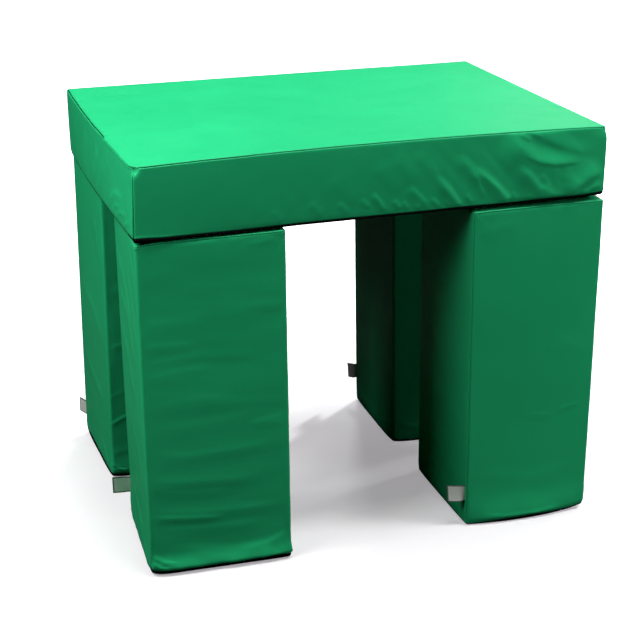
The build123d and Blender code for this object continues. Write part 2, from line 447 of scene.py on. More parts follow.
class Form:
    """A soft block on a rounded rectangle. Sizes in millimetres in its own frame, base middle at the origin.
    Its sides are 0 front (-Y), 1 right (+X), 2 back (+Y), 3 left (-X). A column is a side and a distance u along
    it from its middle, to the right as seen from outside, running on round half of each corner. Along a section, m
    is the length from the middle of the bottom edge's rounding, up the side, over the top edge and inward."""

    def __init__(self, hx, hy, height, corner, top=5.0, bottom=4.0, place=None, step=4.0):
        self.hx, self.hy, self.h, self.r = hx, hy, height, corner
        self.rt, self.rb, self.place, self.step = top, bottom, place, step
        self.m_top = bottom * math.pi / 4 + (height - bottom - top) + top * math.pi / 4
        self.half_arc = corner * math.pi / 4

    def flat(self, side):
        return (self.hx if side % 2 == 0 else self.hy) - self.r

    def reach(self, side):
        return self.flat(side) + self.half_arc

    def m_side(self, z):
        """m at height z on the straight part of the side."""
        return self.rb * math.pi / 4 + (z - self.rb)

    def section(self, m):
        """Inset from the side's plane, height, and the angle of the surface's normal above level."""
        q = math.pi / 4
        up = m - (self.rb * q + self.h - self.rb - self.rt)
        low = -(q - m / self.rb)
        inset, z, a = np.zeros(m.shape), self.rb + (m - self.rb * q), np.zeros(m.shape)
        k = m < self.rb * q
        a = np.where(k, np.maximum(low, -math.pi / 2), a)
        inset = np.where(k, self.rb - self.rb * np.cos(a), inset)
        z = np.where(k, self.rb + self.rb * np.sin(a), z)
        k = m < -self.rb * q
        inset = np.where(k, self.rb + (-self.rb * q - m), inset)
        k = up > 0
        b = np.minimum(up / self.rt, math.pi / 2)
        a = np.where(k, b, a)
        inset = np.where(k, self.rt - self.rt * np.cos(b), inset)
        z = np.where(k, self.h - self.rt + self.rt * np.sin(b), z)
        k = up > self.rt * math.pi / 2
        inset = np.where(k, self.rt + (up - self.rt * math.pi / 2), inset)
        return inset, z, a

    def m_inset_top(self, d):
        return self.m_top + self.rt * math.pi / 4 + (d - self.rt)

    def m_inset_bottom(self, d):
        return -self.rb * math.pi / 4 - (d - self.rb)

    def points(self, side, u, m, lift):
        """Local points, in millimetres. side, u: one per column; m, lift: rows by columns. lift is along the normal."""
        side, u = np.asarray(side), np.asarray(u, float)
        along = np.where(side % 2 == 0, self.hx, self.hy)
        out = np.where(side % 2 == 0, self.hy, self.hx)
        flat = along - self.r
        theta = np.radians(-90.0 + 90.0 * side)
        n = np.stack([np.cos(theta), np.sin(theta)])
        t = np.stack([-np.sin(theta), np.cos(theta)])
        s = np.sign(u)
        beyond = np.maximum(np.abs(u) - flat, 0)
        turn = theta + s * beyond / self.r
        on_flat = np.abs(u) <= flat + 1e-9
        inset, z, a = self.section(m)
        scale = np.where(inset < self.r, 1.0, (along - inset) / flat)
        un, ut = out - inset, u * scale
        nx, ny = np.cos(turn), np.sin(turn)
        xf = n[0] * un + t[0] * ut
        yf = n[1] * un + t[1] * ut
        r = np.maximum(self.r - inset, 0)
        inner = inset < self.r
        cx = np.where(inner, n[0] * (out - self.r) + t[0] * s * flat + r * nx, n[0] * un + t[0] * s * (along - inset))
        cy = np.where(inner, n[1] * (out - self.r) + t[1] * s * flat + r * ny, n[1] * un + t[1] * s * (along - inset))
        x, y = np.where(on_flat, xf, cx), np.where(on_flat, yf, cy)
        x = x + nx * np.cos(a) * lift
        y = y + ny * np.cos(a) * lift
        return np.stack([x, y, z + np.sin(a) * lift], -1)

    def world(self, p):
        """Local millimetres to world metres."""
        return self.place(p.reshape(-1, 3))


NEAR = [0.0, 0.45, 1.0, 1.8, 2.9, 4.4, 6.6]      # distances from a seam where rows and columns are close together


def side_columns(form, side, left_seam, right_seam, step, extra=()):
    """Distances u for one side, from the middle of one corner to the middle of the next."""
    flat, arc = form.flat(side), form.half_arc
    near = [d for d in NEAR if d < arc - 0.4]
    plain = list(np.linspace(0, arc, 4)[:-1])
    a = [-(flat + arc) + d for d in (near if left_seam else plain)]
    b = [flat + arc - d for d in reversed(near if right_seam else plain)]
    n = max(2, int(round(2 * flat / step)))
    mid = list(np.linspace(-flat, flat, n + 1))
    if extra:
        mid = [v for v in mid if all(abs(v - e) > 0.45 * step for e in extra)] + list(extra)
    return sorted(set(np.round(a + mid + b, 5)))


def seam_shape(d, depth=1.7, ridge=0.55, at=2.6, width=1.2):
    """Height across a sewn seam: a narrow groove with a soft ridge beside it. d is the distance from the seam."""
    return -depth * np.exp(-(d / 0.8) ** 2) + ridge * np.exp(-((d - at) / width) ** 2)


def wrap(name, form, sides, seam_corners, top_seam, bottom_seam, lift, mat, row_step, levels=(), columns=None,
         thickness=4.0, grooves=(1.7, 1.7, 1.5), ridges=(0.55, 0.55, 0.45), dark=(0.8, 0.8, 0.8)):
    """One band of cloth round some sides: outer face with its relief, inner face, and folded edges. It starts in the
    middle of the corner before sides[0]. seam_corners: names of the sides whose left corner holds an upright seam."""
    side_of, us = [], []
    for k, side in enumerate(sides):
        first = k == 0 or side in seam_corners
        nxt = sides[k + 1] if k + 1 < len(sides) else None
        last = nxt is None or nxt in seam_corners
        cols = side_columns(form, side, first, last, form.step, (columns or {}).get(side, ()))
        if k > 0:
            cols = cols[1:]
        side_of += [side] * len(cols)
        us += cols
    side_of, us = np.array(side_of), np.array(us)
    arc = np.concatenate([[0.0], np.cumsum(np.where(np.diff(us) > 0, np.diff(us), 0.0))])
    # Where the side changes, u jumps from +reach to -reach: the step there is measured from the corner's middle.
    jump = np.nonzero(np.diff(us) <= 0)[0]
    for j in jump:
        d = us[j + 1] + form.reach(side_of[j + 1])
        arc[j + 1:] += d
    mt, mb = top_seam(side_of, us), bottom_seam(side_of, us)
    lo, hi = max(mb.max() + NEAR[-1], form.m_side(form.rb) + 2), mt.min() - NEAR[-1]
    n = max(3, int(round((hi - lo - 2 * row_step) / row_step)))
    mid = list(np.linspace(lo + row_step * 0.6, hi - row_step * 0.6, n))
    if levels:
        mid = sorted([v for v in mid if all(abs(v - e) > 0.4 * row_step for e in levels)] + list(levels))
    rows = [mb + d for d in NEAR] + [np.full(len(us), v) for v in mid] + [mt - d for d in reversed(NEAR)]
    m = np.array(rows)
    nr, nc = m.shape
    d_top, d_bottom = mt[None, :] - m, m - mb[None, :]
    d_side = np.full(nc, 1e6)
    total = arc[-1]
    d_side = np.minimum(d_side, np.minimum(arc, total - arc))
    for k, side in enumerate(sides):
        if k > 0 and side in seam_corners:
            at = arc[np.nonzero(side_of == side)[0][0] - 1]
            d_side = np.minimum(d_side, np.abs(arc - at))
    inset, z, a = form.section(m)
    zz = m - form.m_side(0.0)                       # height along the side, running on over the roundings
    relief = lift(side_of[None, :] + 0 * m, us[None, :] + 0 * m, arc[None, :] + 0 * m, zz, d_top, d_bottom)
    relief = relief * fade(np.minimum(d_top, d_bottom), 0.0, 7.0) * (0.25 + 0.75 * fade(d_side[None, :], 0.0, 8.0))
    relief = relief + seam_shape(d_top, depth=grooves[1], ridge=ridges[1]) + seam_shape(d_bottom, depth=grooves[0], ridge=ridges[0])
    relief = relief + seam_shape(d_side[None, :] + 0 * m, depth=grooves[2], ridge=ridges[2])
    relief = np.maximum(relief, -thickness + 0.8)
    outer = form.world(form.points(side_of, us, m, relief))
    near = np.minimum(d_top, np.minimum(d_bottom, d_side[None, :]))
    edge = np.exp(-(np.maximum(near - 1.5, 0) / 2.2) ** 2) * (near > 0.6)
    # worn: lighter near the seams, partly wear and partly a painted highlight on the seam ridges.
    worn = edge * (0.55 + 0.45 * field(arc[None, :] / 9.0 + 0 * m, zz / 9.0, 91))
    # Painted shade: deep darkens the vinyl along the seam grooves; dark gives its strength at the bottom, top and
    # upright seams.
    top_seam_shade = dark[1](side_of, us)[None, :] if callable(dark[1]) else dark[1]
    deep = np.maximum(top_seam_shade * np.exp(-(d_top / 1.25) ** 2), dark[2] * np.exp(-((d_side[None, :] + 0 * m) / 1.0) ** 2))
    deep = np.maximum(deep, dark[0] * np.exp(-(d_bottom / 1.1) ** 2))
    # Inner face: the same columns, few rows.
    pick = sorted(set([0, len(NEAR) - 1, nr - len(NEAR), nr - 1] + list(range(len(NEAR), nr - len(NEAR), max(6, nr // 9)))))
    inner = form.world(form.points(side_of, us, m[pick], np.full((len(pick), nc), -thickness)))
    io = np.arange(nr * nc).reshape(nr, nc)
    ii = nr * nc + np.arange(len(pick) * nc).reshape(len(pick), nc)
    faces = [sheet_faces(io), sheet_faces(ii)[:, ::-1]]
    faces.append(np.stack([ii[0, :-1], ii[0, 1:], io[0, 1:], io[0, :-1]], -1))
    faces.append(np.stack([io[-1, :-1], io[-1, 1:], ii[-1, 1:], ii[-1, :-1]], -1))
    tris = []
    for c in (0, nc - 1):
        for k in range(len(pick) - 1):
            ring = io[pick[k]:pick[k + 1] + 1, c]
            a0, b0, half = ii[k, c], ii[k + 1, c], len(ring) // 2
            found = [[ring[q], ring[q + 1], a0 if q < half else b0] for q in range(len(ring) - 1)]
            found.append([ring[half], b0, a0])
            tris += found if c == 0 else [f[::-1] for f in found]
    faces.append(np.array(tris))
    verts = np.concatenate([outer.reshape(-1, 3), inner.reshape(-1, 3)])
    rest = np.zeros(inner.size // 3)
    return build(name, verts, faces, mat, {"edge_wear_and_highlight": np.append(np.clip(worn, 0, 1).ravel(), rest), "seam": np.append(deep.ravel(), rest)})


def ring_columns(form, step):
    side_of, us = [], []
    for side in range(4):
        flat, arc = form.flat(side), form.half_arc
        n = max(4, int(round(2 * flat / step)))
        u = list(np.linspace(-flat - arc, -flat, 4)[1:-1]) + list(np.linspace(-flat, flat, n + 1)) + list(
            np.linspace(flat, flat + arc, 4)[1:])
        side_of += [side] * len(u)
        us += u
    return np.array(side_of), np.round(np.array(us), 6)


def cap(name, form, seam, lift, mat, top=True, step=8.0, thickness=3.0, depth=1.7, inset_end=18.0, ridge=0.55, dark=0.8, reach=None):
    """The top or base panel, with its rim turned over the edge to the seam. lift(x, y, m, d) is its relief."""
    side_of, us = ring_columns(form, step)
    ms = seam(side_of, us)
    nc = len(us)
    rel = NEAR[:5]
    insets = [form.r + 0.01, form.r + 2.5, 14.0 if form.r < 11 else form.r + 5, inset_end]
    insets = sorted(set(i for i in insets if i <= inset_end))
    q = math.pi / 4
    if top:
        last = ms.max() + rel[-1]
        arcs = [v for v in np.linspace(form.m_top - form.rt * q, form.m_top + form.rt * q, 5) if v > last + 0.6]
        rows = [ms + d for d in rel] + [np.full(nc, v) for v in arcs] + [
            np.full(nc, form.m_inset_top(i)) for i in insets if form.m_inset_top(i) > max([last] + arcs) + 0.5]
    else:
        last = ms.min() - rel[-1]
        arcs = [v for v in np.linspace(-form.rb * q, form.rb * q, 5) if v < last - 0.6]
        rows = [np.full(nc, form.m_inset_bottom(i)) for i in reversed(insets)
                if form.m_inset_bottom(i) < min([last] + arcs) - 0.5] + [np.full(nc, v) for v in arcs] + [
            ms - d for d in reversed(rel)]
    m = np.array(rows)
    d = np.abs(m - ms[None, :])
    flatp = form.points(side_of, us, m, np.zeros(m.shape))
    relief = lift(flatp[..., 0], flatp[..., 1], m, d) * fade(d, 0, 7.0) + seam_shape(d, depth=depth, ridge=ridge)
    relief = np.maximum(relief, -thickness + 0.6)
    if not top:
        inset, z, a = form.section(m)
        relief = np.where(a < -0.5, np.minimum(relief, 0.0), relief)
    pts = form.points(side_of, us, m, relief)
    nr = len(rows)
    index = np.arange(nr * nc).reshape(nr, nc)
    inset = form.section(m)[0]
    corner = np.abs(us) > np.array([form.flat(s) for s in side_of]) - 1e-6
    # From the corner's own radius inward the corner's columns are one point.
    heads = {}
    for c in range(nc):
        if corner[c]:
            key = (side_of[c] + (1 if us[c] > 0 else 0)) % 4
            heads.setdefault(key, []).append(c)
    for cs in heads.values():
        for r in range(nr):
            if inset[r, cs[0]] >= form.r - 1e-6:
                index[r, cs] = index[r, cs[0]]
    edge_row = nr - 1 if top else 0
    fs = [sheet_faces(np.concatenate([index, index[:, :1]], 1))]
    # Interior grid, whose rim is the innermost row.
    xs = us[(side_of == 0) & (np.abs(us) <= form.flat(0) + 1e-6)]
    ys = us[(side_of == 1) & (np.abs(us) <= form.flat(1) + 1e-6)]
    kx, ky = (form.hx - inset_end) / form.flat(0), (form.hy - inset_end) / form.flat(1)
    gx, gy = np.meshgrid(xs * kx, ys * ky)
    gm = np.full(gx.shape, form.m_inset_top(60.0) if top else form.m_inset_bottom(60.0))
    h = lift(gx, gy, gm, np.full(gx.shape, 99.0))
    if not top:
        h = np.minimum(h, 0.0)
    gz = form.h + h if top else 0.0 - h
    grid = np.stack([gx, gy, gz], -1)
    gi = nr * nc + np.arange(gx.size).reshape(gx.shape)

    def ring_index(side):
        cols = np.nonzero((side_of == side) & (np.abs(us) <= form.flat(side) + 1e-6))[0]
        return index[edge_row, cols]

    gi[0, :], gi[:, -1] = ring_index(0), ring_index(1)
    gi[-1, :], gi[:, 0] = ring_index(2)[::-1], ring_index(3)[::-1]
    gf = sheet_faces(gi)
    fs.append(gf if top else gf[:, ::-1])
    # Hidden side: a lip at the seam, a ring and a fan.
    outer = np.concatenate([pts.reshape(-1, 3), grid.reshape(-1, 3)])
    row0 = 0 if top else nr - 1
    back = form.points(side_of, us, np.stack([m[row0], np.full(nc, (form.m_inset_top if top else form.m_inset_bottom)(form.r - 0.6))]),
                       np.full((2, nc), -thickness))
    bi = len(outer) + np.arange(2 * nc).reshape(2, nc)
    centre = len(outer) + 2 * nc
    mid = np.array([[0.0, 0.0, form.h - thickness if top else thickness]])
    allp = np.concatenate([outer, back.reshape(-1, 3), mid])

    def closed(a):
        return np.concatenate([a, a[:1]])

    o0, b0, b1 = closed(index[row0]), closed(bi[0]), closed(bi[1])
    lip = np.stack([b0[:-1], b0[1:], o0[1:], o0[:-1]], -1)
    under = np.stack([b1[:-1], b1[1:], b0[1:], b0[:-1]], -1)
    fan = np.stack([b1[1:], b1[:-1], np.full(nc, centre)], -1)
    if top:
        fs += [lip, under, fan]
    else:
        fs += [lip[:, ::-1], under[:, ::-1], fan[:, ::-1]]
    # worn: lighter near the seam, partly wear and partly a painted highlight on the seam ridges.
    worn = np.exp(-(np.maximum(d - 1.5, 0) / 2.2) ** 2) * (d > 0.6) * (0.55 + 0.45 * field(pts[..., 0] / 9.0, pts[..., 1] / 9.0, 17))
    edge_wear_and_highlight = np.zeros(len(allp))
    edge_wear_and_highlight[:nr * nc] = np.clip(worn, 0, 1).ravel()
    # Painted shade: deep darkens the vinyl along the seam, with strength dark and width reach.
    deep = np.zeros(len(allp))
    wide = reach(side_of, us)[None, :] if reach else 1.25
    deep[:nr * nc] = ((dark(side_of, us)[None, :] if callable(dark) else dark) * np.exp(-(d / wide) ** 2)).ravel()
    return build(name, form.world(allp), fs, mat, {"edge_wear_and_highlight": edge_wear_and_highlight, "seam": deep})


def closed_form(name, form, mat, step=20.0, relief=None, rows=None, inset_end=None, extra=None):
    """A whole closed block: foam core, pad. relief(x, y, z) along the normal."""
    side_of, us = ring_columns(form, step)
    nc = len(us)
    inset_end = inset_end or form.r + 0.5
    q = math.pi / 4
    body = rows if rows is not None else list(np.linspace(form.rb * q, form.m_top - form.rt * q, max(2, int(form.h / step)) + 1))
    ms = [form.m_inset_bottom(inset_end), form.m_inset_bottom(form.r + 0.01)] + list(np.linspace(-form.rb * q, form.rb * q, 4)[:-1]) + body + list(
        np.linspace(form.m_top - form.rt * q, form.m_top + form.rt * q, 4)[1:]) + [form.m_inset_top(form.r + 0.01), form.m_inset_top(inset_end)]
    ms = sorted(set(np.round(ms, 5)))
    m = np.repeat(np.array(ms)[:, None], nc, 1)
    base = form.points(side_of, us, m, np.zeros(m.shape))
    h = relief(base[..., 0], base[..., 1], base[..., 2]) if relief else np.zeros(m.shape)
    pts = form.points(side_of, us, m, h)
    nr = len(ms)
    index = np.arange(nr * nc).reshape(nr, nc)
    inset = form.section(m)[0]
    heads = {}
    for c in range(nc):
        if abs(us[c]) > form.flat(side_of[c]) - 1e-6:
            heads.setdefault((side_of[c] + (1 if us[c] > 0 else 0)) % 4, []).append(c)
    for cs in heads.values():
        for r in range(nr):
            if inset[r, cs[0]] >= form.r - 1e-6:
                index[r, cs] = index[r, cs[0]]
    fs = [sheet_faces(np.concatenate([index, index[:, :1]], 1))]
    allp = [pts.reshape(-1, 3)]
    at = nr * nc
    for top in (True, False):
        xs = us[(side_of == 0) & (np.abs(us) <= form.flat(0) + 1e-6)]
        ys = us[(side_of == 1) & (np.abs(us) <= form.flat(1) + 1e-6)]
        kx, ky = (form.hx - inset_end) / form.flat(0), (form.hy - inset_end) / form.flat(1)
        gx, gy = np.meshgrid(xs * kx, ys * ky)
        z = np.full(gx.shape, form.h if top else 0.0)
        gh = relief(gx, gy, z) if relief else 0 * gx
        allp.append(np.stack([gx, gy, z + (gh if top else -gh)], -1).reshape(-1, 3))
        gi = at + np.arange(gx.size).reshape(gx.shape)
        at += gx.size
        row = index[nr - 1 if top else 0]

        def ring_index(side):
            return row[np.nonzero((side_of == side) & (np.abs(us) <= form.flat(side) + 1e-6))[0]]

        gi[0, :], gi[:, -1] = ring_index(0), ring_index(1)
        gi[-1, :], gi[:, 0] = ring_index(2)[::-1], ring_index(3)[::-1]
        f = sheet_faces(gi)
        fs.append(f if top else f[:, ::-1])
    return build(name, form.world(np.concatenate(allp)), fs, mat, extra)


def beads(name, at, along, across, length, radius, mat, place, flat=1.0, sides=6):
    """Many small rounded beads in one mesh: stitches, or zip teeth. at, along, across: points and directions."""
    at, along, across = (np.asarray(v, float).reshape(-1, 3) for v in (at, along, across))
    third = np.cross(along, across)
    rings = [(-0.5, 0.35), (-0.32, 0.92), (0.32, 0.92), (0.5, 0.35)]
    ang = np.linspace(0, 2 * math.pi, sides, endpoint=False)
    length, radius = np.broadcast_to(length, (len(at),)), np.broadcast_to(radius, (len(at),))
    verts = []
    for f, k in rings:
        for a in ang:
            verts.append(at + along * (f * length)[:, None] + across * (math.cos(a) * k * radius)[:, None]
                         + third * (math.sin(a) * k * radius * flat)[:, None])
    verts = np.stack(verts, 1)
    nv = verts.shape[1]
    quads = []
    for r in range(3):
        for s in range(sides):
            t = (s + 1) % sides
            quads.append([r * sides + s, r * sides + t, (r + 1) * sides + t, (r + 1) * sides + s])
    quads = np.array(quads)
    ends = []
    for s in range(1, sides - 1):
        ends.append([0, s + 1, s])
        ends.append([3 * sides, 3 * sides + s, 3 * sides + s + 1])
    ends = np.array(ends)
    off = (np.arange(len(at)) * nv)[:, None, None]
    fs = [(quads[None] + off).reshape(-1, 4), (ends[None] + off).reshape(-1, 3)]
    return build(name, place(verts.reshape(-1, 3)), fs, mat)


# ------------------------------------------------------------------ the five modules
DECK_L, DECK_W, DECK_T, DECK_R = 1000.0, 750.0, 150.0, 10.0
LEG_S, LEG_H, LEG_R = 295.0, 720.0, 8.0
PAD, PAD_T = 160.0, 1.5
ZIP_Z, LEG_ZIP, DECK_ZIP = 28.0, 236.0, 880.0

# Turn in degrees, quarter turns, then how the soft block really stands: base shift X and Y, top shift X and Y.
LEGS = {
    "front_left_leg": (-2.1, 0, (0.0, -5.0), (1.0, 6.0)),
    "back_left_leg": (1.6, 0, (0.0, 10.0), (7.0, 1.0)),
    "front_right_leg": (-0.2, 1, (1.0, 0.0), (0.5, -4.0)),
    "back_right_leg": (-1.2, 0, (0.0, 0.0), (-7.0, 2.0)),
}


def leg_place(name):
    yaw, quarters, base, top = LEGS[name]
    lo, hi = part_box(name + "_base_panel")
    cx, cy = (lo.x + hi.x) / 2 * 1000, (lo.y + hi.y) / 2 * 1000
    a = math.radians(yaw + 90 * quarters)
    ca, sa = math.cos(a), math.sin(a)

    def place(p):
        t = np.clip(p[:, 2] / LEG_H, 0, 1.02)
        x = cx + p[:, 0] * ca - p[:, 1] * sa + base[0] + (top[0] - base[0]) * t
        y = cy + p[:, 0] * sa + p[:, 1] * ca + base[1] + (top[1] - base[1]) * t
        return np.stack([x, y, p[:, 2]], -1) * MM

    return place


DECK_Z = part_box("deck_base_panel")[0].z * 1000


def deck_place(p):
    return np.stack([p[:, 0], p[:, 1], p[:, 2] + DECK_Z], -1) * MM


# Each block's corners stand a little off the floor: (height, reach) at the module corners
# (-X-Y, +X-Y, +X+Y, -X+Y), in millimetres.
TOP_DROP = {
    "front_left_leg": ((6.0, 26.0), (-2.0, 50.0), (0.0, 30.0), (2.0, 30.0)),
    "back_left_leg": ((2.0, 30.0), (1.0, 30.0), (1.0, 30.0), (2.0, 30.0)),
    "front_right_leg": ((2.0, 30.0), (1.0, 30.0), (1.0, 30.0), (1.5, 30.0)),
    "back_right_leg": ((1.0, 30.0), (1.0, 30.0), (1.0, 30.0), (1.0, 30.0)),
}
CORNER_LIFT = {
    "front_left_leg": ((7.0, 12.0), (1.0, 20.0), (3.0, 30.0), (4.0, 22.0)),
    "back_left_leg": ((6.0, 22.0), (4.0, 30.0), (4.0, 30.0), (5.0, 26.0)),
    "front_right_leg": ((8.0, 46.0), (3.0, 30.0), (3.0, 30.0), (1.5, 30.0)),
    "back_right_leg": ((5.0, 26.0), (4.0, 30.0), (4.0, 30.0), (4.0, 26.0)),
}


def leg_form(name):
    place = leg_place(name)
    half = LEG_S / 2
    lifts, drops = CORNER_LIFT[name], TOP_DROP[name]

    def soft(p):
        p = p.copy()
        for (h, reach), (sx, sy) in zip(lifts, ((-1, -1), (1, -1), (1, 1), (-1, 1))):
            d = np.hypot(p[:, 0] - sx * half, p[:, 1] - sy * half)
            w = np.exp(-d / reach) * np.exp(-np.maximum(p[:, 2], 0) / 45.0)
            p[:, 2] += h * w
            p[:, 0] -= sx * 0.35 * h * w
            p[:, 1] -= sy * 0.35 * h * w
        for (h, reach), (sx, sy) in zip(drops, ((-1, -1), (1, -1), (1, 1), (-1, 1))):
            d = np.hypot(p[:, 0] - sx * half, p[:, 1] - sy * half)
            p[:, 2] -= h * np.exp(-d / reach) * np.exp(-np.maximum(LEG_H - p[:, 2], 0) / 30.0)
        low = 1 - np.clip(p[:, 2] / LEG_H, 0, 1)
        if name == "front_left_leg":
            # The left face splays a little toward its front edge, and the block widens to the foot on its right.
            p[:, 0] -= 4.6 * np.clip(-p[:, 0] / half, 0, 1) * np.clip(-p[:, 1] / half + 0.1, 0, 1)
            p[:, 0] += (3.4 * np.clip(p[:, 1] / half, 0, 1) + 2.4 * low ** 3) * low * np.clip(-p[:, 0] / half, 0, 1)
            p[:, 0] += (1.8 + 1.4 * low) * np.clip(p[:, 0] / half, 0, 1)
        if name == "front_right_leg":
            # Narrower at the foot, and bowed out along its front.
            p[:, 1] += 4.6 * low * np.clip(-p[:, 1] / half, 0, 1) - 3.0 * low * np.clip(p[:, 1] / half, 0, 1)
            p[:, 0] -= 13.0 * np.clip(-p[:, 0] / half, 0, 1) ** 3 * (1 - np.clip(np.abs(p[:, 1]) / half, 0, 1) ** 2) * np.exp(
                -np.maximum(p[:, 2], 0) / 75.0)
        return place(p)

    return Form(half, half, LEG_H, 6.5, top=2.6, bottom=3.5, place=soft, step=4.0), place


def zip_mask(u, z, half, inner=16.0, outer=44.0):
    """0 on the zip and close round it, 1 away from it, so that the cloth lies flat where the zip is sewn."""
    d = np.hypot(np.maximum(np.abs(u) - half, 0), np.abs(z - ZIP_Z))
    return fade(d, inner, outer)


def zip_channel(u, z, half):
    """The slot that shows the teeth, with a rolled lip round it."""
    dz, du = np.abs(z - ZIP_Z) - 4.5, np.abs(u) - half
    d = np.maximum(dz, du)
    return -2.7 * (1 - fade(d, -0.5, 0.35)) + 0.45 * np.exp(-((d - 1.3) / 0.9) ** 2) - 0.35 * np.exp(-((d - 3.4) / 0.5) ** 2)


# Creases, per block and side: path in (u, z), half widths left and right of its direction, height.
LEG_STROKES = {
    "front_left_leg": {
        0: [
            (((-146, 548), (-60, 549), (-5, 546)), 9, 14, 0.7), (((-146, 505), (-70, 504), (-30, 500)), 5, 12, 0.8),
            (((-147, 468), (-80, 474), (-20, 478)), 5, 11, 0.7), (((-147, 437), (-60, 447), (10, 452)), 6, 15, 0.9),
            (((-140, 377), (-40, 383), (46, 383)), 7, 16, 0.9), (((20, 560), (140, 580)), 8, 16, 0.5),
            (((-144, 330), (-60, 326), (20, 334), (120, 345)), 8, 18, 0.8),
            (((-145, 276), (-60, 262), (30, 266), (130, 274)), 6, 15, 1.1),
            (((60, 318), (145, 330)), 4, 10, 0.9), (((-137, 212), (-50, 205), (30, 199), (90, 203)), 6, 12, 1.0),
            (((-138, 186), (-40, 178), (41, 173)), 5, 11, 0.8), (((-141, 145), (-40, 132), (60, 130), (138, 133)), 5, 14, 1.3),
            (((-144, 134), (-60, 124), (18, 117)), 3.0, 8, 1.9), (((-141, 103), (-20, 96), (104, 90)), 5, 13, 1.1),
            (((-118, 58), (-60, 50), (10, 38), (80, 40), (140, 52)), 7, 15, 1.4), (((-147, 46), (-122, 32), (-90, 25)), 2.6, 5.0, 3.2),
            (((-146, 33), (-128, 19), (-104, 13)), 2.2, 4.0, 2.8), (((-60, 46), (-20, 30), (30, 24)), 5, 9, 1.0),
            (((30, 34), (96, 42), (145, 62)), 5, 11, 3.4), (((60, 700), (138, 706)), 3, 6, 0.7),
        ],
        3: [
            (((-138, 640), (-40, 590), (60, 500)), 12, 24, 1.5), (((-126, 560), (0, 520), (95, 440)), 11, 20, 1.3),
            (((-140, 490), (-30, 430), (73, 350)), 12, 24, 1.4), (((60, 700), (110, 640), (138, 560)), 7, 13, 1.3),
            (((-60, 300), (40, 250), (120, 180)), 12, 20, 1.0), (((20, 628), (80, 560), (128, 470)), 8, 14, 1.1),
            (((-20, 176), (-6, 158), (12, 136)), 2.6, 4.0, -1.5), (((-60, 190), (-20, 170)), 5, 8, 0.8),
            (((-120, 120), (-20, 96), (100, 60)), 10, 18, 1.0), (((80, 60), (128, 18)), 4, 8, 1.5),
        ],
    },
    "back_left_leg": {
        0: [
            (((-147, 139), (-128, 150), (-98, 161)), 2.4, 7, 2.1), (((-146, 206), (-130, 214), (-104, 222)), 4, 8, 0.6),
            (((-146, 62), (-125, 68), (-96, 70)), 9, 7, 0.8), (((-147, 40), (-132, 25), (-104, 18)), 2.0, 3.4, 2.6),
            (((-147, 27), (-130, 14), (-104, 10)), 1.8, 3.0, 2.0), (((-140, 330), (-90, 340)), 6, 12, 1.0),
            (((-140, 470), (-60, 462)), 8, 16, 0.9),
        ],
        3: [
            (((-130, 240), (-20, 210), (110, 170)), 12, 22, 1.2), (((60, 640), (120, 520)), 12, 20, 1.1),
            (((-120, 420), (20, 390), (130, 330)), 14, 26, 1.0), (((60, 70), (120, 22)), 4, 8, 1.4),
            (((-130, 40), (-80, 16)), 4, 7, 1.2),
        ],
    },
    "front_right_leg": {
        3: [
            (((-120, 26), (-60, 15), (20, 12), (90, 20)), 5, 12, 1.3), (((-138, 668), (-40, 690)), 14, 26, 0.7),
            (((-130, 120), (0, 96), (120, 110)), 18, 30, 0.7), (((40, 420), (130, 380)), 16, 30, 0.6),
            (((-20, 250), (60, 240)), 7, 12, 0.4), (((60, 250), (120, 262)), 3, 6, 0.5),
        ],
        2: [
            (((-120, 300), (0, 260), (120, 250)), 16, 26, 0.8), (((-130, 500), (0, 520), (130, 500)), 16, 28, 0.8),
        ],
    },
    "back_right_leg": {
        0: [
            (((-146, 60), (-90, 40), (-40, 36)), 5, 9, 1.2), (((-140, 220), (-60, 236)), 8, 14, 0.9),
            (((-140, 420), (-20, 400)), 12, 20, 0.8),
        ],
        3: [
            (((-120, 300), (60, 250)), 14, 22, 0.9), (((20, 60), (120, 20)), 5, 9, 1.3),
        ],
    },
}


# How much each block's cloth waves on its sides 0 to 3.
CALM = {
    "front_left_leg": (0.9, 0.6, 0.6, 0.35),
    "back_left_leg": (0.6, 0.6, 0.6, 0.3),
    "front_right_leg": (0.6, 0.6, 0.4, 0.16),
    "back_right_leg": (0.5, 0.6, 0.6, 0.4),
}


